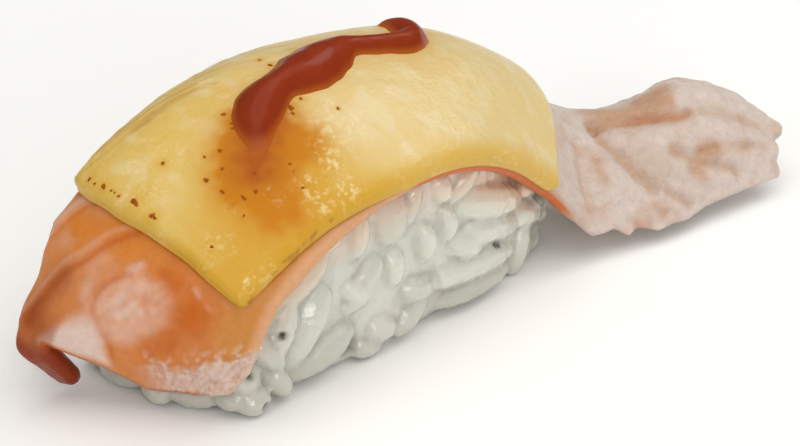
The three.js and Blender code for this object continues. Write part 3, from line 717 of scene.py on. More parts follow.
def cheese_material(settings):
    """Melted young cheese, torched: soft, fatty and slightly see-through, so its thin edges glow amber."""
    material, tree = new_material("Young cheese, melted under a torch")
    flecks = lumps(tree, 0.9, 5.0, 0.7)
    crinkle = add_node(tree, "ShaderNodeAttribute", result="Fac", attribute_name="crinkle")
    wrinkled = add_node(tree, "ShaderNodeMapRange", {"Value": flecks, "From Min": 0.5, "From Max": 0.6})
    both = {"Value": crinkle, "Value_001": wrinkled}
    crinkle = add_node(tree, "ShaderNodeMath", both, operation="MULTIPLY")
    layers = [
        (lumps(tree, 5.0, 4.0, 0.6), settings.warm_colour, 1.0),
        # painted glare over the strip's right part, and cream patches at random
        ("cream", "#DAC696", 0.9),
        # amber of thin, well-melted cheese; on the near-left side partly painted shade
        ("amber", settings.amber_colour, 0.85),
        ("singe", "#B08038", 0.5),
        ("stain", settings.stain_colour, 1.0),
        ("soaked", "#A04A00", 0.9),
        # painted glints on the crinkles, lace-like where the fine noise peaks
        (crinkle, "#EAD9A4", 0.75),
        ("scorch", "#8E4A10", 0.85),
    ]
    crumple = lumps(tree, 1.6, 4.0, 0.62)
    grain = lumps(tree, 0.45, 2.0, 0.5)
    relief = roughened(tree, [(crumple, 0.6, 0.4), (flecks, crinkle, 0.35), (grain, 0.3, 0.07)])
    gloss = {"Value": crumple, "From Min": 0.3, "From Max": 0.7, "To Min": 0.3, "To Max": 0.46}
    stained = add_node(tree, "ShaderNodeAttribute", result="Fac", attribute_name="stain")
    oil = {"Value": stained, "To Min": 0.28, "To Max": 0.04}
    inputs = {
        "Base Color": layered(tree, settings.pale_colour, layers),
        "Roughness": add_node(tree, "ShaderNodeMapRange", gloss),
        "IOR": 1.44,
        "Specular IOR Level": 0.15,
        "Normal": relief,
        "Subsurface Weight": 0.3,
        "Subsurface Radius": (1.0, 0.6, 0.15),
        "Subsurface Scale": 1.0 * MM,
        "Coat Weight": add_node(tree, "ShaderNodeMapRange", oil),
        "Coat Roughness": 0.12,
        "Coat Normal": relief,
    }
    return finished(material, inputs)


def scorch_material():
    """Cheese burnt to a crust by the flame: dull, and mottled from dark to lighter brown."""
    material, tree = new_material("Cheese crust, burnt brown")
    mottling = lumps(tree, 0.6, 2.0, 0.5)
    inputs = {
        "Base Color": layered(tree, "#7C3200", [(mottling, "#B86008", 1.0)]),
        "Roughness": 0.55,
        "IOR": 1.45,
        "Specular IOR Level": 0.1,
        "Normal": roughened(tree, [(mottling, 0.5, 0.1)]),
    }
    return finished(material, inputs)


def sauce_material(settings):
    """Sweet soy glaze, squeezed on and set: dark red-brown with a syrupy gloss, orange where thin."""
    material, tree = new_material("Sweet soy glaze, squeezed on and set")
    layers = [
        (lumps(tree, 3.0, 3.0, 0.5), "#8E3208", 1.0),
        # lighter, thinner sauce on the bulges' right flanks, with a painted sheen from the light at the
        # right
        ("shoulder", "#A65A34", 0.8),
        ("thin", settings.thin_colour, 0.9),
    ]
    inputs = {
        "Base Color": layered(tree, settings.body_colour, layers),
        "Roughness": 0.3,
        "IOR": 1.38,
        "Specular IOR Level": 0.08,
        "Normal": roughened(tree, [(lumps(tree, 1.2, 2.0, 0.5), 0.3, 0.15)]),
        "Subsurface Weight": 0.08,
        "Subsurface Radius": (1.0, 0.25, 0.05),
        "Subsurface Scale": 0.6 * MM,
        "Coat Weight": 0.2,
        "Coat Roughness": 0.18,
    }
    return finished(material, inputs)


def rice_material(settings):
    """Short-grain rice, steamed and seasoned: pearly and see-through, each grain with a sticky gloss."""
    material, tree = new_material("Short-grain rice, steamed")
    layers = [
        ("tone", settings.grain_colour, 1.0),
        # painted shade: greyer low on the block and under the hem
        ("foot", "#A6A296", 0.6),
        # painted light: salmon-coloured light on the grains near the slice
        ("tinge", settings.salmon_light_colour, 0.8),
        # painted shade in the hollows between the grains
        ("crease", "#ACA694", 0.4),
        # painted shade: near black in the named gaps between the grains
        ("gap", "#3E3024", 0.95),
    ]
    relief = roughened(tree, [(lumps(tree, 1.3, 3.0, 0.55), 0.5, 0.4)])
    inputs = {
        "Base Color": layered(tree, settings.shade_colour, layers),
        "Roughness": 0.22,
        "IOR": 1.45,
        "Normal": relief,
        "Subsurface Weight": 0.75,
        "Subsurface Radius": (1.0, 0.95, 0.85),
        "Subsurface Scale": 2.0 * MM,
        "Coat Weight": 0.7,
        "Coat Roughness": 0.08,
        "Coat Normal": relief,
    }
    return finished(material, inputs)


def floor_material(settings):
    """Matt white table top, lacquered: it bounces soft light back up and shows no grain of its own."""
    material, tree = new_material("White lacquered table top")
    dust = {"Value": lumps(tree, 30.0, 3.0, 0.5), "To Min": 0.99, "To Max": 1.01}
    shaded = {"Vector": settings.floor_colour[:], "Scale": add_node(tree, "ShaderNodeMapRange", dust)}
    colour = add_node(tree, "ShaderNodeVectorMath", shaded, result="Vector", operation="SCALE")
    return finished(material, {"Base Color": colour, "Roughness": 0.6})


# ---------------------------------------------------------------- salmon

RAW_ROWS = (3.6, 3.2)  # from the first to the second, the raw end's colours come in
SEARED_ROWS = (7.6, 8.5)  # and here the seared tail's do
NEAR_EDGE_ROWS = (0.4, 1.3)  # here the slice's near edge turns from the hem to the side of the block
SALMON_SPACING = np.array([[0, 0], [0.42, 0.28], [1, 1]])  # share of the grid, share of the rows
BUMP = {"height": 0.3, "width": 0.8}  # of the named bumps on the tail
SALMON_RIM_BULGE, CHEESE_RIM_BULGE, SAUCE_RIM_BULGE = 0.8, 0.5, 0.3
FLOOR_GAP = 0.02


def hem_row(v):
    """The hem is level below the near half and rises towards the far side, where a lobe hangs."""
    near_corner = HEM["near_corner"] * smooth_step(*HEM["near_corner_v"], v)
    far_rise = HEM["far_rise"] * np.clip((v - HEM["rise_from"]) / HEM["rise_width"], 0, 1)
    lobe = HEM["lobe_drop"] * smooth_step(*HEM["lobe"], v)
    return np.maximum(0, HEM["row"] + near_corner + far_rise - lobe)


def tip_row(v):
    """The tail's torn end: one blunt point beside its middle, and the far side slants back."""
    point = TIP["point"] * ridge(v - TIP["at"], TIP["width"])
    slant = TIP["slant"] * smooth_step(TIP["slant_from"], 1, v)
    return LAST_ROW - TIP["inset"] + point - slant + TIP["ragged"] * np.sin(19 * v + 1)


def slice_thickness(row, v):
    hang = smooth_step(HANG_ROW, 0, row)
    tail = smooth_step(TAIL_ROOT_ROW - 1.4, TAIL_ROOT_ROW + 0.6, row)
    middle = lerp(SLICE_THICKNESS["block"], SLICE_THICKNESS["hem"], hang)
    middle = lerp(middle, SLICE_THICKNESS["tail"], tail)
    edge = np.sqrt(np.maximum(0, 1 - np.abs(v) ** 4))
    return middle * lerp(SLICE_EDGE_SHARE, 1, edge)


def flake_step(points, line, height, decay):
    """One flake's raised edge: it drops over its own rim and fades away from it."""
    distance, along = line_distance(points, line)
    ends = smooth_step(0, 0.1, along) * smooth_step(1, 0.88, along)
    return height * smooth_step(-0.35, 0.35, distance) * np.exp(-np.maximum(distance, 0) / decay) * ends


def hem_band(points, v):
    """1 on the pale, wrinkled skin along the near half of the hem."""
    distance, _ = line_distance(points, HEM_BAND_TOP)
    return smooth_step(1.1, -0.7, distance + 0.8 * wander(points, 1.6, 9)) * smooth_step(0.1, -0.5, v)


def salmon_relief(row, v, settings):
    """Relief on the upper face, in mm: flakes and fine wrinkles at the raw end, creases in the tail."""
    points = slice_point(row, v)
    height = settings.flake_height / MM
    hang = smooth_step(HANG_ROW + 0.2, HANG_ROW - 0.4, row)
    relief = flake_step(points, FLAKE_EDGE, height, 4.0) + flake_step(points, CORNER_FLAKE_EDGE, height, 3.0)
    relief += drawn(points, "relief") + 0.1 * wander(points, 3.0, 1) + 0.03 * wander(points, 1.1, 2)
    wrinkles = np.maximum(hem_band(points, v), drawn(points, "hem wrinkles"))
    relief += 0.26 * wrinkles * fibres(row, v, -0.5, 2.4, 0.5, 3)
    tail = smooth_step(TAIL_ROOT_ROW - 0.3, TAIL_ROOT_ROW + 0.3, row)
    creases = sum(depth * marked(points, line, width, 0.08) for line, depth, width in TAIL_CREASES)
    swells = 0.25 * np.sin(5.2 * row + 2 * v) * np.sin(5 * v - 2 * row + 0.6)
    bumps = 0.2 * wander(points, 2.4, 4) + 0.1 * wander(points, 1.1, 5)
    for spot in TAIL_BUMPS:
        away = np.linalg.norm(points - slice_point(*np.array(spot)), axis=-1)
        bumps += BUMP["height"] * ridge(away, BUMP["width"])
    return hang * relief + tail * (swells + bumps - creases)


def raw_values(points, row, v):
    """How strongly the raw end's own colours show."""
    distance, along = line_distance(points, FLAKE_EDGE)
    ends = smooth_step(0, 0.08, along) * smooth_step(1, 0.93, along)
    corner_distance, _ = line_distance(points, CORNER_FLAKE_EDGE)
    soft = 0.5 + 0.5 * wander(points, 4.0, 6)
    streaks = 0.5 * fibres(row, v, -0.7, 5.0, 0.8, 7) + 0.5 * wander(points, 1.6, 36)
    broken = 0.65 + 0.5 * wander(points, 3.0, 28)
    warp = 0.03 * wander(points, 2.5, 29)
    skin = 0.6 * fibres(row + 0.5 * warp, v + warp, -0.5, 1.8, 0.5, 3) + 0.6 * wander(points, 0.8, 26)
    medallion = patch(row + warp, v + warp, MEDALLION, 1.1)
    fold = patch(row + warp, v + 0.5 * warp, FOLD, 0.9) * smooth_step(1.75, 1.15, row + 0.25 * (v - 0.4))
    band = hem_band(points, v)
    fat = 0.28 * ridge(distance - 0.6, 0.38) * ends * broken + 0.45 * ridge(corner_distance - 0.9, 0.8)
    # the fold and the medallion's streaks are pale fat and partly a painted highlight
    fat += 0.95 * fold + 0.25 * medallion * (0.6 + 0.5 * streaks)
    fat += drawn(points, "fold line") + drawn(points, "streaks") * (0.7 + 0.5 * streaks)
    fat += drawn(points, "pale line") * smooth_step(-0.3, 0.3, wander(points, 1.5, 25))
    fat += band * (0.8 + 0.5 * skin) + drawn(points, "hem skin") * smooth_step(0.0, 0.4, skin)
    blush = 0.9 * medallion * (0.8 + 0.5 * streaks) + drawn(points, "corner blush")
    blush += drawn(points, "shoulder blush") * (0.7 + 0.5 * streaks)
    at_far_left = smooth_step(1.2, 2.4, row) * smooth_step(0.15, 0.5, v)
    blush += 0.35 * smooth_step(0.3, 0.9, soft) * at_far_left
    deep = patch(row, v, DEEP_PATCH, 2.4) + drawn(points, "deep")
    # painted shadow: a darker line just under each flake's raised edge
    deep += 0.8 * ridge(distance + 0.7, 0.6) * ends + 0.4 * ridge(corner_distance + 0.5, 0.5)
    deep *= 1 - 0.9 * band
    glow = smooth_step(2.0, 3.0, row + 0.3 * v + 0.2 * soft) * smooth_step(-0.9, -0.5, v)
    wrinkled = 0.9 * band + drawn(points, "hem bump")
    return {"fat": fat, "blush": blush, "deep": deep, "wrinkled": wrinkled, "glow": glow}


def salmon_values(points, row, v):
    """How strongly each colour shows at each spot of the upper face."""
    hang = smooth_step(*RAW_ROWS, row)
    tail = smooth_step(*SEARED_ROWS, row)
    raw = raw_values(points, row, v)
    # below its top line the hanging lobe is painted dark as shade
    lobe_distance, _ = line_distance(points, LOBE_TOP)
    lobe = smooth_step(0.3, -2.8, lobe_distance) * smooth_step(0.25, 0.4, v) * smooth_step(1.8, 1.2, row)
    creases = sum(marked(points, line, 0.9, 0.12) * (0.4 + 0.6 * depth) for line, depth, _ in TAIL_CREASES)
    # tan in the creases is seared browning and painted shade
    tan = 0.75 * creases + drawn(points, "tan") + 0.3 * smooth_step(0.1, 0.6, wander(points, 3.5, 8))
    # painted shade along the tail's diagonal valley, and dull patches at random
    dull = drawn(points, "dull") + 0.5 * smooth_step(0.0, 0.6, wander(points, 1.8, 27))
    edge_glow = smooth_step(-0.94, -1.0, v) * smooth_step(9.0, 8.6, row) * smooth_step(7.6, 8.2, row)
    edge_glow += drawn(points, "edge glow")
    side = smooth_step(*NEAR_EDGE_ROWS, row) * (1 - tail)
    return {
        "glow": raw["glow"],
        "wrinkled": np.clip(0.12 * hang + raw["wrinkled"], 0, 1) * hang + 0.5 * tail,
        "fat": np.clip(raw["fat"] * hang, 0, 1) * (1 - np.clip(lobe, 0, 1)),
        "blush": np.clip(raw["blush"] * hang, 0, 1),
        "deep": np.clip(raw["deep"] * hang, 0, 1),
        "thin": smooth_step(-0.6, -0.8, v) * side,
        "pale": smooth_step(-0.92, -1.0, v) * side,
        "seared": tail,
        "tan": np.clip(tan, 0, 1) * tail,
        # painted shadow in the tail's upper crease, with half the edge glow
        "red": np.clip(drawn(points, "red") + 0.5 * edge_glow, 0, 1),
        "dull": np.clip(dull, 0, 1) * tail,
        "shade": np.clip(drawn(points, "shade"), 0, 1),
        # painted shade on the hanging lobe
        "dark": np.clip(lobe + drawn(points, "dark"), 0, 1),
        "cut": drawn(points, "cut") * smooth_step(-0.1, 0.2, wander(points, 2.6, 30)),
    }


def build_salmon(settings):
    along, across = SALMON_GRID
    s = np.interp(np.linspace(0, 1, along + 1), *SALMON_SPACING.T)[:, None]
    v = np.tile(2 * crowded(across, 0.4) - 1, (along + 1, 1))
    hem = hem_row(v) * smooth_step(0.35, 0, s)
    tip = (LAST_ROW - tip_row(v)) * smooth_step(0.75, 1, s)
    row = LAST_ROW * s + hem - tip
    lumpy = np.interp(row, *TAIL_NEAR_EDGE.T)
    v *= np.where(v < 0, lerp(1, lumpy, np.abs(v) ** 4), 1 + 0.012 * np.sin(9 * row) * np.abs(v) ** 4)
    upper = off_slice(row, v, salmon_relief(row, v, settings))
    lower = off_slice(row, v, -slice_thickness(row, v))
    uv = np.stack([row / LAST_ROW, (v + 1) / 2], -1)
    values = salmon_values(slice_point(row, v), row, v)
    values["near"] = smooth_step(-0.9, -0.97, v) * smooth_step(5.4, 5.0, row) + smooth_step(8.4, 8.8, row)
    values["near"] += smooth_step(-0.45, -0.8, v) * smooth_step(1.5, 1.0, row)
    vertices, faces, carried, uvs = slab(upper, lower, SALMON_RIM_BULGE, values, uv)
    near = np.clip(carried.pop("near"), 0, 1)
    carried["cut"] = np.maximum(carried["cut"], carried["rim"] * (1 - near))
    carried["fat"] *= 1 - carried["cut"]
    carried["pale"] = np.maximum(carried["pale"], carried["rim"] * near * (1 - carried["seared"]))
    vertices[:, 2] = np.maximum(vertices[:, 2], FLOOR_GAP)
    obj = make_mesh("salmon_slice", vertices, faces, carried, uvs)
    obj.data.materials.append(salmon_material(settings))
    hand_over(obj, "salmon", "salmon")


# ---------------------------------------------------------------- cheese

CHEESE_LIP = {"along": 0.03, "across": 0.05, "height": 0.2}  # shares of the strip and of its thickness
CHEESE_SUNK = 0.1  # mm above the slice's smooth face at which the strip's underside lies
SPECK_LIFT = 0.02
SPECK_SEED = 3
FLECK_CORNERS = 12
FLECK_RINGS = [(0.25, 0.12), (0.42, 0.05), (0.5, -0.08)]  # radius and height, for a fleck one wide
FLECK_TOP = 0.14
FLECK_TILT = ((0, 0, 0), (0, 0, math.tau))
FLECK_SPREAD = ((0.75, 0.55, 0.8), (1.25, 0.9, 1.2))


def cheese_spots(s, t):
    """The (row, v) of shares along and across the strip, whose corners are rounded off."""
    x, y = 2 * s - 1, 2 * t - 1
    corner = (np.abs(x) * np.abs(y)) ** 24
    s, t = (x * (1 - 0.02 * corner) + 1) / 2, (y * (1 - 0.03 * corner) + 1) / 2
    reach = lerp(CHEESE_LEFT_ROW["middle"] - 0.7, CHEESE_RIGHT_ROW[0], s)
    tuck = 0.2 * np.clip((5.2 - reach) / 3, 0, 1)
    v = lerp(CHEESE_V[0] + tuck, CHEESE_V[1], t)
    left = CHEESE_LEFT_ROW["middle"] + CHEESE_LEFT_ROW["skew"] * v
    left -= CHEESE_LEFT_ROW["near_bend"] * np.minimum(v, 0) ** 2
    left += CHEESE_LEFT_ROW["far_bend"] * np.maximum(v, 0) ** 4
    left += 0.008 * np.sin(14 * v) * (1 - np.abs(y) ** 4)
    right = lerp(*CHEESE_RIGHT_ROW, smooth_step(-1, -0.2, v))
    return lerp(left, right, s), v


def rounded_lip(share, width):
    """A quarter round over that width at both ends of shares from 0 to 1."""
    return np.sqrt(1 - (1 - np.clip(np.minimum(share, 1 - share) / width, 0, 1)) ** 2)


def cheese_top(s, t, row, v, thickness):
    """Height of the strip's upper face above the slice: a rounded lip, slow sags and fine crumples."""
    edge = np.minimum(rounded_lip(s, CHEESE_LIP["along"]), rounded_lip(t, CHEESE_LIP["across"]))
    points = slice_point(row, v)
    sag = 0.14 * wander(points, 9.0, 11) + 0.07 * wander(points, 3.5, 12) + 0.03 * wander(points, 1.3, 13)
    sag += np.clip(drawn(points, "crinkles"), 0, 1) * 0.1 * wander(points, 0.8, 19)
    sag += 0.12 * drawn(points, "far wrinkles") * wander(points, 1.5, 20)
    return CHEESE_LIFT + thickness * lerp(CHEESE_LIP["height"], 1, edge) + sag * edge


def cheese_values(points, row, v, s, t):
    """How strongly each colour shows at each spot of the strip."""
    # the near-left side is darker amber, partly painted shade where it turns away from the light above
    near_left = smooth_step(0.1, -0.75, v) * smooth_step(5.3, 3.8, row)
    rim = smooth_step(0.03, 0.0, s) + 0.6 * smooth_step(0.02, 0.0, 1 - s)
    rim += smooth_step(0.08, 0.0, np.minimum(t, 1 - t))
    cloud = 0.5 + 0.5 * wander(points, 6.0, 14)
    ragged = 0.9 + 0.5 * wander(points, 1.5, 15)
    stain = np.clip(drawn(points, "stain") * ragged + drawn(points, "under sauce"), 0, 1)
    halo = drawn(points, "stain ring") * (0.6 + 0.6 * cloud)
    for *spot, size in SCORCH_SPECKS:
        away = np.linalg.norm(points - slice_point(*np.array(spot)), axis=-1)
        halo = np.maximum(halo, 0.75 * ridge(away, 1.3 * size))
    singe = drawn(points, "singe") * smooth_step(-0.35, 0.35, fibres(row, v, -0.8, 4.0, 0.55, 16))
    burnt_edge = drawn(points, "burnt edge") * smooth_step(0.0, 0.3, wander(points, 1.1, 17))
    # crinkled patches: real relief, with painted glints in their colour
    crinkle = np.clip(drawn(points, "crinkles"), 0, 1) + drawn(points, "glare crinkle")
    crinkle += 0.35 * smooth_step(0.0, 0.5, wander(points, 3.0, 24))
    # painted glare over the strip's right part and along the glare line, with random cream patches
    cream = 0.9 * smooth_step(4.1, 5.6, row) * (0.5 + 0.5 * cloud) + drawn(points, "glare cream")
    cream += 0.55 * smooth_step(0.0, 0.6, wander(points, 2.6, 18))
    clear = (1 - near_left) * (1 - np.clip(rim, 0, 1)) * (1 - stain)
    return {
        "amber": np.clip(near_left * (0.6 + 0.7 * cloud) + 0.5 * rim + halo, 0, 1),
        "cream": np.clip(cream, 0, 1) * clear,
        "crinkle": np.clip(crinkle, 0, 1) * (1 - 0.7 * stain),
        "singe": np.clip(singe, 0, 1),
        "stain": stain,
        "soaked": np.clip(drawn(points, "soaked") * ragged, 0, 1),
        "scorch": np.clip(drawn(points, "burnt stroke") + burnt_edge, 0, 1),
    }


def new_tree(name, inputs, output):
    """An empty Geometry Nodes tree with named inputs and one output. Returns it and its inputs' sockets."""
    tree = bpy.data.node_groups.new(name, "GeometryNodeTree")
    for key, kind in inputs.items():
        tree.interface.new_socket(key, in_out="INPUT", socket_type=f"NodeSocket{kind}")
    tree.interface.new_socket(output, in_out="OUTPUT", socket_type="NodeSocketGeometry")
    return tree, tree.nodes.new("NodeGroupInput").outputs


def scattered(tree, given, thing, rotation, tilt, spread):
    """A thing on every spot, as large as the spot's size says, tilted and stretched by chance."""
    vector = {"data_type": "FLOAT_VECTOR"}
    size = add_node(tree, "GeometryNodeInputNamedAttribute", {"Name": "size"}, **vector)
    tilts, spreads = (
        add_node(tree, "FunctionNodeRandomValue", {"Min": low, "Max": high, "Seed": given["Seed"]}, **vector)
        for low, high in (tilt, spread)
    )
    turn = add_node(tree, "FunctionNodeEulerToRotation", {"Euler": tilts})
    turn = {"Rotation": rotation, "Rotate By": turn}
    turned = add_node(tree, "FunctionNodeRotateRotation", turn, rotation_space="LOCAL")
    scale = {"Vector": spreads, "Vector_001": size}
    scale = add_node(tree, "ShaderNodeVectorMath", scale, result="Vector", operation="MULTIPLY")
    thing = add_node(tree, "GeometryNodeObjectInfo", {"Object": thing}, result="Geometry")
    place = {"Points": given["Spots"], "Instance": thing, "Rotation": turned, "Scale": scale}
    placed = add_node(tree, "GeometryNodeInstanceOnPoints", place)
    return add_node(tree, "GeometryNodeRealizeInstances", {"Geometry": placed})


def speck_tree():
    """Geometry Nodes: a burnt fleck on every spot, turned to the surface, no two alike."""
    inputs = {"Spots": "Geometry", "Fleck": "Object", "Seed": "Int", "Finish": "Material"}
    tree, given = new_tree("Scorch specks", inputs, "Flecks")
    out = add_node(tree, "GeometryNodeInputNamedAttribute", {"Name": "out"}, data_type="FLOAT_VECTOR")
    upright = add_node(tree, "FunctionNodeAlignRotationToVector", {"Vector": out}, axis="Z")
    flecks = scattered(tree, given, given["Fleck"], upright, FLECK_TILT, FLECK_SPREAD)
    burnt = add_node(tree, "GeometryNodeSetMaterial", {"Geometry": flecks, "Material": given["Finish"]})
    add_node(tree, "NodeGroupOutput", {"Flecks": burnt})
    return tree


def fleck_object():
    """A burnt fleck a millimetre across: a shallow, uneven dome."""
    vertices = [(0.0, 0.0, FLECK_TOP)]
    for radius, height in FLECK_RINGS:
        for k in range(FLECK_CORNERS):
            a = math.tau * k / FLECK_CORNERS
            r = radius * (1 + 0.16 * math.sin(3 * a + 1) + 0.1 * math.sin(5 * a))
            vertices.append((r * math.cos(a), r * math.sin(a), height))
    last = len(vertices)
    vertices.append((0.0, 0.0, FLECK_RINGS[-1][1]))
    faces = []
    for k in range(FLECK_CORNERS):
        n = (k + 1) % FLECK_CORNERS
        faces.append((0, 1 + k, 1 + n))
        faces.append((last, last - FLECK_CORNERS + n, last - FLECK_CORNERS + k))
        for first in range(1, last - FLECK_CORNERS, FLECK_CORNERS):
            second = first + FLECK_CORNERS
            faces.append((first + k, second + k, second + n))
            faces.append((first + k, second + n, first + n))
    return loose_object("fleck", [[x * MM for x in vertex] for vertex in vertices], faces)


def build_cheese(settings):
    along, across = CHEESE_GRID
    s, t = np.meshgrid(crowded(along, 0.35), crowded(across, 0.5), indexing="ij")
    row, v = cheese_spots(s, t)
    thickness = settings.thickness / MM
    upper = off_slice(row, v, cheese_top(s, t, row, v, thickness))
    lower = off_slice(row, v, np.full(row.shape, CHEESE_SUNK))
    values = cheese_values(slice_point(row, v), row, v, s, t)
    obj = make_mesh("cheese_strip", *slab(upper, lower, CHEESE_RIM_BULGE, values, np.stack([s, t], -1)))
    obj.data.materials.append(cheese_material(settings))
    hand_over(obj, "cheese", "cheese")

    row, v, width = np.array(SCORCH_SPECKS).T
    places = off_slice(row, v, np.full(len(width), CHEESE_LIFT + thickness + SPECK_LIFT))
    carried = {"out": slice_normal(row, v), "size": np.tile(width[:, None], 3)}
    specks = make_mesh("scorch_specks", places, [], carried)
    inputs = {"Fleck": fleck_object(), "Seed": SPECK_SEED, "Finish": scorch_material()}
    scatter_on(specks, speck_tree(), inputs)
    settle(specks)
    hand_over(specks, "cheese", "cheese")


# ---------------------------------------------------------------- sauce

SAUCE_WOBBLE = {"height": 0.1, "size": 2.4, "apart": 3}  # how its edges wander, each on its own


def build_sauce(settings):
    along, across = SAUCE_GRID
    s = crowded(along, 0.4)
    row, v, half, high = read_curve(SAUCE_LINE, s * (len(SAUCE_LINE) - 1)).T
    middle = off_slice(row, v, np.full(len(s), CHEESE_LIFT + CHEESE_THICKNESS))
    normal = slice_normal(row, v)
    side = unit(np.cross(normal, np.gradient(middle, axis=0)))
    taper = np.sqrt(np.maximum(0, 1 - np.abs(2 * s - 1) ** 12))[:, None]
    w = 2 * crowded(across, 0.4)[None, :] - 1
    edges = np.stack([middle + SAUCE_WOBBLE["apart"] * side, middle - SAUCE_WOBBLE["apart"] * side], 1)
    wobble = 1 + SAUCE_WOBBLE["height"] * wander(edges, SAUCE_WOBBLE["size"], 21)
    wobble = np.where(w > 0, wobble[:, :1], wobble[:, 1:])
    reach = half[:, None] * lerp(0.3, 1, taper) * w * wobble
    fall = 0.5 * SLICE_CURVATURE * reach**2
    dome = (1 - w**2) ** 1.25
    rim, root = SAUCE_ROOT["rim"], SAUCE_ROOT["middle"]
    flat = middle[:, None] + side[:, None] * reach[..., None]
    rise = (settings.height_share * high[:, None] + rim) * taper * dome - rim
    rise = rise + 0.15 * dome * wander(flat, 2.6, 22) + 0.03 * dome * wander(flat, 1.1, 23)
    upper = flat + normal[:, None] * (rise - fall)[..., None]
    lower = flat + normal[:, None] * (-rim - (root - rim) * (1 - w**2) - fall)[..., None]
    end = smooth_step(0.9, 1.0, s)[:, None] + 0 * w
    values = {
        "thin": 0.85 * smooth_step(0.9, 0.0, rise),
        # lighter, thinner sauce with a painted sheen on the bulges' right flanks, and at the stripe's end
        "shoulder": np.clip(drawn(flat, "sauce shoulders") + 0.5 * end, 0, 1),
    }
    uv = np.stack(np.broadcast_arrays(s[:, None], (w + 1) / 2), -1)
    obj = make_mesh("sauce_stripe", *slab(upper, lower, SAUCE_RIM_BULGE, values, uv))
    obj.data.materials.append(sauce_material(settings))
    hand_over(obj, "sauce", "cheese")


# ---------------------------------------------------------------- rice

GIRTH_HEIGHT = 10.0  # height at which the way round the block is measured
UPWARDS = np.array([0, 0, 1.0])
GRAIN_SIDES, GRAIN_RINGS = 8, 7
GRAIN_TILT = ((-0.7, -0.12, 0.0), (0.7, 0.12, 0.0))
GRAIN_SPREAD = ((0.92, 0.9, 0.9), (1.08, 1.08, 1.08))
THICKEST_GRAIN = 3.4
NAMED_GRAIN_SUNK = 0.35  # share of its thickness, less as many mm
GRAIN_TRIES = 5000  # how many places are tried for the seeded grains
LOWEST_GRAIN = 1.4
GRAIN_SUNK = {"middle": 0.9, "spread": 0.5}
GRAIN_LEAN = {"middle": 0.85, "spread": 0.75}  # turn up from the way round the block, in radians
GRAIN_ROOM = 1.3  # between a seeded grain's middle and the slice
AXIS_SHARES = (-0.35, -0.18, 0, 0.18, 0.35)  # where on a named grain's length other grains keep away
CORE_CORNERS = 120
GAP_DEPTH = 2.0  # against the gap's radius
NEAR_FACE_Y = -6.0  # the near face's gaps lie on this side of it


def rice_face(angle, z, inset=0.0):
    """A point on the block's upright face at an angle round it and a height above the table."""
    left = np.where(np.sin(angle) < 0, RICE_SQUARENESS["near_left"], RICE_SQUARENESS["far_left"])
    power = 2 / np.where(np.cos(angle) < 0, left, RICE_SQUARENESS["right"])
    foot = 1 - np.clip(z / RICE["foot_height"], 0, 1)
    at_far_left = smooth_step(0, -0.6, np.cos(angle)) * smooth_step(-0.2, 0.3, np.sin(angle))
    inset = inset + lerp(FOOT_INSET["elsewhere"], FOOT_INSET["far_left"], at_far_left) * foot**2
    y = np.sign(np.sin(angle)) * np.abs(np.sin(angle)) ** power * (RICE["half_width"] - inset)
    back = LEFT_STEP["by"] * smooth_step(LEFT_STEP["from_y"], LEFT_STEP["to_y"], y) * (np.cos(angle) < 0)
    x = np.sign(np.cos(angle)) * np.abs(np.cos(angle)) ** power * (RICE_HALF_LENGTH - inset - back)
    return np.stack(np.broadcast_arrays(RICE_MIDDLE_X + x, y, z), -1)


def face_frames(angle):
    """The way round the block and the way out of its face, at angles round it."""
    here, near = (rice_face(turn, np.full(angle.shape, GIRTH_HEIGHT)) for turn in (angle, angle + 0.002))
    around = unit(near - here)
    return around, np.stack([around[:, 1], -around[:, 0], np.zeros(len(angle))], 1)


def leaning(around, turn):
    """Directions on the face, turned up from the way round the block by so many radians."""
    return around * np.cos(turn)[:, None] + UPWARDS * np.sin(turn)[:, None]


def room_under_slice(points):
    """How far points in mm lie from the slice's underside, to the nearest few tenths."""
    rows, vs = np.meshgrid(np.arange(0, 10.2, 0.06), np.linspace(-1, 1, 81), indexing="ij")
    under = off_slice(rows, vs, -slice_thickness(rows, vs)).reshape(-1, 3)
    normal = slice_normal(rows, vs).reshape(-1, 3)
    tree = search_tree(under)
    found = [tree.find(point) for point in points.tolist()]
    nearest = np.array([hit[1] for hit in found])
    apart = np.array([hit[2] for hit in found])
    above = ((points - under[nearest]) * normal[nearest]).sum(1) > 0.2
    return np.where(above & (np.abs(vs.ravel()[nearest]) < 0.98), -apart, apart)


def grain_object():
    """One grain along X, a unit long, wide and thick: plump, blunt at one end and a little bent."""
    vertices = [(-0.5, 0.0, 0.0)]
    for k in range(1, GRAIN_RINGS):
        a = math.pi * k / GRAIN_RINGS
        along, girth = -math.cos(a), math.sin(a) ** 0.7
        for i in range(GRAIN_SIDES):
            turn = math.tau * i / GRAIN_SIDES
            y = math.cos(turn) * girth / 2 * (1 + 0.12 * along)
            vertices.append((along / 2, y, math.sin(turn) * girth / 2 - 0.12 * along**2))
    last = len(vertices)
    vertices.append((0.5, 0.0, 0.0))
    turns = [(i, (i + 1) % GRAIN_SIDES) for i in range(GRAIN_SIDES)]
    faces = [(0, 1 + n, 1 + i) for i, n in turns]
    for first in range(1, last - GRAIN_SIDES, GRAIN_SIDES):
        second = first + GRAIN_SIDES
        faces += [(first + i, first + n, second + n, second + i) for i, n in turns]
    faces += [(last, last - GRAIN_SIDES + i, last - GRAIN_SIDES + n) for i, n in turns]
    return loose_object("grain", vertices, faces)


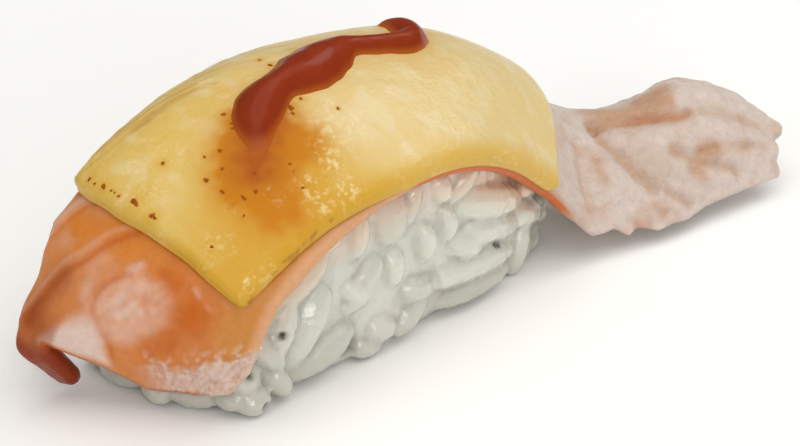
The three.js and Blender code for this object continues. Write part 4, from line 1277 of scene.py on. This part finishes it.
def grain_tree():
    """Geometry Nodes: a grain on every spot, its back to the block, no two alike, joined by the core."""
    inputs = {"Spots": "Geometry", "Grain": "Object", "Core": "Object", "Seed": "Int", "Finish": "Material"}
    tree, given = new_tree("Rice grains", inputs, "Block")
    out, ahead = (
        add_node(tree, "GeometryNodeInputNamedAttribute", {"Name": name}, data_type="FLOAT_VECTOR")
        for name in ("out", "ahead")
    )
    facing = add_node(tree, "FunctionNodeAlignRotationToVector", {"Vector": out}, axis="Z")
    turn = {"Rotation": facing, "Vector": ahead}
    laid = add_node(tree, "FunctionNodeAlignRotationToVector", turn, axis="X", pivot_axis="Z")
    grains = scattered(tree, given, given["Grain"], laid, GRAIN_TILT, GRAIN_SPREAD)
    core = add_node(tree, "GeometryNodeObjectInfo", {"Object": given["Core"]}, result="Geometry")
    joined = tree.nodes.new("GeometryNodeJoinGeometry")
    for part in (grains, core):
        tree.links.new(part, joined.inputs[0])
    block = {"Geometry": joined.outputs[0], "Material": given["Finish"]}
    add_node(tree, "NodeGroupOutput", {"Block": add_node(tree, "GeometryNodeSetMaterial", block)})
    return tree


def near_grains():
    """Middles, outward directions, long axes and sizes in mm of the named grains on the near face."""
    x, height, length, width, turn = NEAR_GRAINS.T
    angles = np.linspace(0, math.tau, 7201)
    angles = angles[angles > math.pi]
    path = rice_face(angles, np.full(angles.shape, GIRTH_HEIGHT))
    angle = np.interp(x, path[:, 0], angles)
    thickness = np.minimum(width, THICKEST_GRAIN)
    point = rice_face(angle, height, NAMED_GRAIN_SUNK * thickness - NAMED_GRAIN_SUNK)
    around, out = face_frames(angle)
    return point, out, leaning(around, np.radians(turn)), np.stack([length, width, thickness], 1)


def left_grains():
    """The same of the named grains that lie under the hem."""
    x, y, height, length, width, turn = LEFT_GRAINS.T
    plan = np.radians(turn)
    ahead = np.stack([np.cos(plan), np.sin(plan), 0 * plan], 1)
    out = np.stack([-np.sin(plan), np.cos(plan), 0 * plan], 1)
    return np.stack([x, y, height], 1), out, ahead, np.stack([length, width, 0.95 * width], 1)


def seeded_grains(taken, settings):
    """The same of the grains laid by chance all over the block, where those taken leave room."""
    random = np.random.default_rng(settings.seed)
    angles = np.linspace(0, math.tau, 7201)
    path = rice_face(angles, np.full(angles.shape, GIRTH_HEIGHT))
    travelled = np.concatenate([[0], np.cumsum(np.linalg.norm(np.diff(path, axis=0), axis=1))])
    angle = np.interp(random.random(GRAIN_TRIES) * travelled[-1], travelled, angles)
    height = LOWEST_GRAIN + random.random(GRAIN_TRIES) * (RICE["top"] - LOWEST_GRAIN)
    sunk = GRAIN_SUNK["middle"] + GRAIN_SUNK["spread"] * (random.random(GRAIN_TRIES) - 0.5)
    point = rice_face(angle, height, sunk)
    around, out = face_frames(angle)
    turn = random.normal(GRAIN_LEAN["middle"], GRAIN_LEAN["spread"], GRAIN_TRIES)
    ahead = leaning(around, turn * smooth_step(1.0, 5.0, height))
    room = room_under_slice(point)
    kept = []
    for k in range(GRAIN_TRIES):
        apart = np.linalg.norm(np.array(taken) - point[k], axis=1).min()
        if room[k] >= GRAIN_ROOM and apart >= settings.spacing / MM:
            kept.append(k)
            taken.append(point[k])
    grain = np.array([settings.grain_length, settings.grain_width, settings.grain_thickness]) / MM
    size = grain * (0.85 + 0.3 * random.random((len(kept), 1)))
    return point[kept], out[kept], ahead[kept], size


def grain_spots(settings):
    """Middles, outward directions, long axes and sizes in mm of all the grains."""
    point, out, ahead, size = (np.concatenate(pair) for pair in zip(near_grains(), left_grains()))
    axes = [point + ahead * (share * size[:, :1]) for share in AXIS_SHARES]
    seeded = seeded_grains(list(np.concatenate(axes)), settings)
    return [np.concatenate(pair) for pair in zip((point, out, ahead, size), seeded)]


def core_object():
    """The pressed middle of the block, seen only between the grains."""
    heights = np.concatenate([[0.0, 0.9, 1.7], np.linspace(RICE["foot_height"], RICE["top"], 22)])
    angle = np.linspace(0, math.tau, CORE_CORNERS, endpoint=False)[None, :]
    rings = rice_face(angle, heights[:, None], CORE_INSET)
    rings[1:, :, :2] += 0.35 * wander(rings[1:], 3.0, 31)[..., None]
    index = np.arange(rings[..., 0].size).reshape(len(heights), CORE_CORNERS)
    after = np.roll(index, -1, 1)
    faces = np.stack([index[:-1], after[:-1], after[1:], index[1:]], -1).reshape(-1, 4).tolist()
    faces.append(index[0, ::-1].tolist())
    faces.append(index[-1].tolist())
    return loose_object("rice_core", in_metres(rings.reshape(-1, 3)).tolist(), faces)


def slice_room_object():
    """Everything that the slice takes up and the space above it, to cut the block with."""
    s = np.linspace(0, 1, 90)[:, None]
    t = np.linspace(0, 1, 40)[None, :]
    row, v = np.broadcast_arrays(s * (TAIL_ROOT_ROW + 1.2), lerp(-1.12, 1.12, t))
    upper = off_slice(row, v, np.full(row.shape, 9.0))
    lower = off_slice(row, v, -slice_thickness(row, np.clip(v, -1, 1)) - 0.1)
    vertices, faces, _, _ = slab(upper, lower, 0.0, {}, np.stack([row, v], -1))
    return make_mesh("slice_room", vertices, faces)


def hollows(points, normals, pairs):
    """How hollow a surface is at each vertex, spread over its neighbours: about 1 in a sharp crease."""
    first, second = pairs.T
    count = np.bincount(pairs.ravel(), minlength=len(points))[:, None]

    def spread(values):
        total = np.zeros_like(values)
        for column in range(values.shape[1]):
            total[:, column] = np.bincount(first, values[second, column], len(points))
            total[:, column] += np.bincount(second, values[first, column], len(points))
        return total / count

    bend = ((spread(points) - points) * normals).sum(1)[:, None]
    for _ in range(3):
        bend = 0.5 * bend + 0.5 * spread(bend)
    return bend[:, 0] / HOLLOW_BEND


def read_mesh(items, key, width, kind=np.float32):
    """One of the numbers that each vertex or edge of a mesh holds, in rows of a width."""
    flat = np.zeros(width * len(items), kind)
    items.foreach_get(key, flat)
    return flat.reshape(-1, width)


def colour_rice(obj, places, aheads, sizes, settings):
    """Gives each grain its own tone, paints salmon-coloured light near the slice, paints shade low down, in
    hollows and in the named gaps, and opens those gaps.
    """
    mesh = obj.data
    points = read_mesh(mesh.vertices, "co", 3) / MM + FOOTPRINT_MIDDLE
    normals = read_mesh(mesh.vertices, "normal", 3)
    hollow = hollows(points, normals, read_mesh(mesh.edges, "vertices", 2, np.int32))
    room = np.abs(room_under_slice(points))
    axes = np.stack([places + aheads * sizes[:, :1] * share for share in (-0.3, 0.0, 0.3)], 1)
    tree = search_tree(axes.reshape(-1, 3))
    nearest = np.array([tree.find(point)[1] for point in points.tolist()]) // axes.shape[1]
    tones = np.random.default_rng(settings.seed + 2).random(len(places))
    # the named gaps are dented and painted dark as shade
    gap = depth = np.zeros(len(points))
    for x, height, radius in RICE_GAPS:
        away = np.hypot(points[:, 0] - x, points[:, 2] - height)
        here = ridge(away, radius) * (points[:, 1] < NEAR_FACE_Y)
        gap, depth = np.maximum(gap, here), np.maximum(depth, radius * here)
    points += 0.07 * wander(points, 1.0, 32)[:, None] * normals
    points -= GAP_DEPTH * depth[:, None] * normals
    points[:, 2] = np.maximum(points[:, 2], 0)
    mesh.vertices.foreach_set("co", in_metres(points).astype(np.float32).ravel())
    cloud = 0.5 + 0.5 * wander(points, 5.0, 33)
    # painted salmon-coloured light, strongest near the slice's underside and high on the block
    tinge = smooth_step(6.5, 0.3, room) * (0.55 + 0.6 * cloud) * smooth_step(6, 13, points[:, 2])
    under_hem = smooth_step(-27, -31, points[:, 0])
    values = {
        "tone": tones[nearest],
        "tinge": np.clip(tinge, 0, 1),
        "gap": np.clip(1.3 * gap, 0, 1),
        # painted shade low on the block, strongest under the hem
        "foot": smooth_step(8.0, 1.0, points[:, 2]) * lerp(0.7, 1, under_hem),
        # painted shade, darker the more hollow the surface is
        "crease": smooth_step(0.2, 1.0, hollow),
    }
    add_attributes(mesh, values)
    mesh.update()


def build_rice(settings):
    finish = rice_material(settings)
    places, outs, aheads, sizes = grain_spots(settings)
    block = make_mesh("rice_block", places, [], {"out": outs, "ahead": aheads, "size": sizes * MM})
    inputs = {"Grain": grain_object(), "Core": core_object(), "Seed": settings.seed, "Finish": finish}
    scatter_on(block, grain_tree(), inputs)
    fuse = block.modifiers.new("Fuse", "REMESH")
    fuse.mode = "VOXEL"
    fuse.voxel_size = settings.fineness
    soften = block.modifiers.new("Soften", "SMOOTH")
    soften.factor = 0.5
    soften.iterations = settings.softness
    room = slice_room_object()
    cut = block.modifiers.new("Cut", "BOOLEAN")
    cut.object = room
    cut.operation = "DIFFERENCE"
    cut.solver = "MANIFOLD"
    settle(block)
    bpy.data.objects.remove(room)
    block.data.materials.clear()
    block.data.materials.append(finish)
    block.data.shade_smooth()
    colour_rice(block, places, aheads, sizes, settings)
    hand_over(block, "rice", "rice")


# ---------------------------------------------------------------- stage

CAMERA = {"azimuth": -46.0, "elevation": 28.0, "distance": 400.0, "lens": 147.6}
CAMERA_AIM = (-1.5, -10.5, 16.0)
BRIGHT_SIDE = (-0.55, -0.53, 0.64)  # the way towards the brightest part of the room
LIGHT_AIM = (0.0, 0.0, 0.015)
LIGHTS = [  # name, place and width in metres, the setting that holds its power, and its colour
    ("Overhead softbox", (0.05, -0.08, 0.7), 1.0, "overhead_power", "#FFFCF6"),
    ("Front fill", (-0.35, -0.55, 0.35), 0.3, "fill_power", "#FFFFFF"),
    ("Side softbox", (0.5, -0.05, 0.5), 0.3, "side_power", "#FFFFFF"),
    ("Small window", (-0.3, -0.6, 0.28), 0.1, "glint_power", "#FFFFFF"),
]


def build_camera():
    azimuth, elevation = math.radians(CAMERA["azimuth"]), math.radians(CAMERA["elevation"])
    level = math.cos(elevation)
    back = Vector((math.sin(azimuth) * level, -math.cos(azimuth) * level, math.sin(elevation)))
    data = bpy.data.cameras.new("Camera")
    data.lens = CAMERA["lens"]
    data.sensor_width = 36.0
    data.clip_start = 0.01
    data.clip_end = 20.0
    camera = bpy.data.objects.new("Camera", data)
    camera.location = Vector(in_metres(CAMERA_AIM)) + back * CAMERA["distance"] * MM
    camera.rotation_euler = (-back).to_track_quat("-Z", "Y").to_euler()
    bpy.context.scene.collection.objects.link(camera)
    bpy.context.scene.camera = camera


def build_light(name, place, width, power, colour):
    data = bpy.data.lights.new(name, "AREA")
    data.shape = "DISK"
    data.size = width
    data.energy = power
    data.color = to_linear(colour)
    light = bpy.data.objects.new(name, data)
    light.location = place
    aim = Vector(LIGHT_AIM) - Vector(place)
    light.rotation_euler = aim.to_track_quat("-Z", "Y").to_euler()
    bpy.context.scene.collection.objects.link(light)


def build_room(settings):
    """Soft white light from all round, strong from above the camera and weak from the far side."""
    world = bpy.data.worlds.new("Studio")
    world.use_nodes = True
    tree = world.node_tree
    tree.nodes.clear()
    way = {"Vector": add_node(tree, "ShaderNodeTexCoord", result="Generated"), "Vector_001": BRIGHT_SIDE}
    facing = add_node(tree, "ShaderNodeVectorMath", way, result="Value", operation="DOT_PRODUCT")
    dimmest, brightest = 0.15 * settings.room_brightness, 1.6 * settings.room_brightness
    inputs = {"Value": facing, "From Min": -0.7, "From Max": 0.9, "To Min": dimmest, "To Max": brightest}
    strength = add_node(tree, "ShaderNodeMapRange", inputs)
    light = add_node(tree, "ShaderNodeBackground", {"Color": (1.0, 1.0, 1.0, 1.0), "Strength": strength})
    add_node(tree, "ShaderNodeOutputWorld", {"Surface": light})
    bpy.context.scene.world = world


def build_stage(settings):
    build_camera()
    half = settings.floor_size / 2
    corners = [(-half, -half, 0), (half, -half, 0), (half, half, 0), (-half, half, 0)]
    floor = loose_object("floor", corners, [(0, 1, 2, 3)])
    bpy.context.scene.collection.objects.link(floor)
    floor.data.materials.append(floor_material(settings))
    for name, place, width, power, colour in LIGHTS:
        build_light(name, place, width, getattr(settings, power), colour)
    build_room(settings)
    bpy.context.scene.view_settings.view_transform = "Standard"


# ---------------------------------------------------------------- settings


def colour_setting(name, description, default):
    return bpy.props.FloatVectorProperty(
        name=name, description=description, default=to_linear(default), subtype="COLOR", size=3, min=0, max=1
    )


def length_setting(name, description, default_mm):
    return bpy.props.FloatProperty(
        name=name,
        description=description,
        default=default_mm * MM,
        min=0,
        precision=4,
        subtype="DISTANCE",
        unit="LENGTH",
    )


def power_setting(name, description, default):
    return bpy.props.FloatProperty(name=name, description=description, default=default, min=0, unit="POWER")


class StageSettings(bpy.types.PropertyGroup):
    floor_colour: colour_setting("Floor Colour", "Colour of the table top", "#FAFAF8")
    floor_size: bpy.props.FloatProperty(
        name="Floor Size", description="Side of the square floor", default=6.0, min=0.5, unit="LENGTH"
    )
    overhead_power: power_setting("Overhead Power", "Power of the softbox above", 2.6)
    fill_power: power_setting("Fill Power", "Power of the fill at the front", 0.55)
    side_power: power_setting("Side Power", "Power of the softbox at the right", 0.65)
    glint_power: power_setting("Glint Power", "Power of the small light that glints in wet surfaces", 0.3)
    room_brightness: bpy.props.FloatProperty(
        name="Room Brightness", description="Strength of the light from all round", default=0.5, min=0
    )


class SalmonSettings(bpy.types.PropertyGroup):
    flake_height: length_setting("Flake Height", "How far a flake's edge stands up", 0.2)
    raw_colour: colour_setting("Raw Colour", "Flesh of the raw end", "#C46E2E")
    bright_colour: colour_setting("Bright Colour", "Lighter mottling of the raw end", "#CE864A")
    deep_colour: colour_setting("Deep Colour", "Darkest orange of the flesh", "#BC5C08")
    fat_colour: colour_setting("Fat Colour", "Fat lines and pale skin of the hem", "#D8C2B6")
    seared_colour: colour_setting("Seared Colour", "Cooked flesh of the tail", "#CCBCB2")


class CheeseSettings(bpy.types.PropertyGroup):
    thickness: length_setting("Thickness", "Thickness of the melted strip", CHEESE_THICKNESS)
    pale_colour: colour_setting("Pale Colour", "Thick cheese", "#D8BC70")
    warm_colour: colour_setting("Warm Colour", "Mottling of the cheese", "#CEA848")
    amber_colour: colour_setting("Amber Colour", "Thin or well-melted cheese", "#CA981C")
    stain_colour: colour_setting("Stain Colour", "Where sauce has soaked in", "#C07800")


class SauceSettings(bpy.types.PropertyGroup):
    height_share: bpy.props.FloatProperty(
        name="Height Share",
        description="Height of the stripe against the solid model",
        default=1.0,
        min=0.2,
        max=1.2,
    )
    body_colour: colour_setting("Body Colour", "Thick middle of the stripe", "#7C2204")
    thin_colour: colour_setting("Thin Colour", "Thin edge of the stripe", "#B05C14")


class RiceSettings(bpy.types.PropertyGroup):
    grain_length: length_setting("Grain Length", "Length of a grain", 7.2)
    grain_width: length_setting("Grain Width", "Width of a grain", 3.5)
    grain_thickness: length_setting("Grain Thickness", "Thickness of a grain", 3.0)
    spacing: length_setting("Spacing", "Least distance between the middles of neighbouring grains", 3.3)
    seed: bpy.props.IntProperty(name="Seed", description="Seed of the grains' arrangement", default=7, min=0)
    grain_colour: colour_setting("Grain Colour", "Lightest grains", "#D4D4C8")
    shade_colour: colour_setting("Shade Colour", "Darkest grains", "#C0C0B4")
    # colour of the painted salmon-coloured light on the grains near the slice
    salmon_light_colour: colour_setting("Tinge Colour", "Grains stained by the salmon", "#DDBA9C")
    fineness: length_setting("Fineness", "Voxel size at which the grains are fused", 0.34)
    softness: bpy.props.IntProperty(
        name="Softness", description="Smoothing steps after fusing", default=3, min=0
    )


# ---------------------------------------------------------------- operators and panel


class NIGIRI_OT_stage(bpy.types.Operator):
    """Set the floor, the lights and the camera"""

    bl_idname = "nigiri.stage"
    bl_label = "Stage"

    def execute(self, context):
        build_stage(context.scene.nigiri_stage)
        return {"FINISHED"}


class NIGIRI_OT_salmon(bpy.types.Operator):
    """Make the salmon slice with its flakes and seared tail"""

    bl_idname = "nigiri.salmon"
    bl_label = "Salmon"

    def execute(self, context):
        build_salmon(context.scene.nigiri_salmon)
        return {"FINISHED"}


class NIGIRI_OT_cheese(bpy.types.Operator):
    """Make the melted cheese strip and its scorch specks"""

    bl_idname = "nigiri.cheese"
    bl_label = "Cheese"

    def execute(self, context):
        build_cheese(context.scene.nigiri_cheese)
        return {"FINISHED"}


class NIGIRI_OT_sauce(bpy.types.Operator):
    """Make the stripe of sauce"""

    bl_idname = "nigiri.sauce"
    bl_label = "Sauce"

    def execute(self, context):
        build_sauce(context.scene.nigiri_sauce)
        return {"FINISHED"}


class NIGIRI_OT_rice(bpy.types.Operator):
    """Make the block of rice and its grains"""

    bl_idname = "nigiri.rice"
    bl_label = "Rice"

    def execute(self, context):
        build_rice(context.scene.nigiri_rice)
        return {"FINISHED"}


class NIGIRI_PT_panel(bpy.types.Panel):
    """Sizes and colours of the nigiri"""

    bl_label = "Nigiri"
    bl_idname = "NIGIRI_PT_panel"
    bl_space_type = "VIEW_3D"
    bl_region_type = "UI"
    bl_category = "Nigiri"

    def draw(self, context):
        for name, group in SETTINGS.items():
            box = self.layout.box()
            box.operator(f"nigiri.{name}")
            for key in group.__annotations__:
                box.prop(getattr(context.scene, f"nigiri_{name}"), key)


SETTINGS = {
    "stage": StageSettings,
    "salmon": SalmonSettings,
    "cheese": CheeseSettings,
    "sauce": SauceSettings,
    "rice": RiceSettings,
}
CLASSES = [
    *SETTINGS.values(),
    NIGIRI_OT_stage,
    NIGIRI_OT_salmon,
    NIGIRI_OT_cheese,
    NIGIRI_OT_sauce,
    NIGIRI_OT_rice,
    NIGIRI_PT_panel,
]


def register():
    for kind in CLASSES:
        bpy.utils.register_class(kind)
    for name, group in SETTINGS.items():
        setattr(bpy.types.Scene, f"nigiri_{name}", bpy.props.PointerProperty(type=group))


def unregister():
    for name in SETTINGS:
        delattr(bpy.types.Scene, f"nigiri_{name}")
    for kind in reversed(CLASSES):
        bpy.utils.unregister_class(kind)


def main():
    register()
    bpy.ops.nigiri.stage()
    bpy.ops.nigiri.salmon()
    bpy.ops.nigiri.cheese()
    bpy.ops.nigiri.sauce()
    bpy.ops.nigiri.rice()


if __name__ == "__main__":
    main()
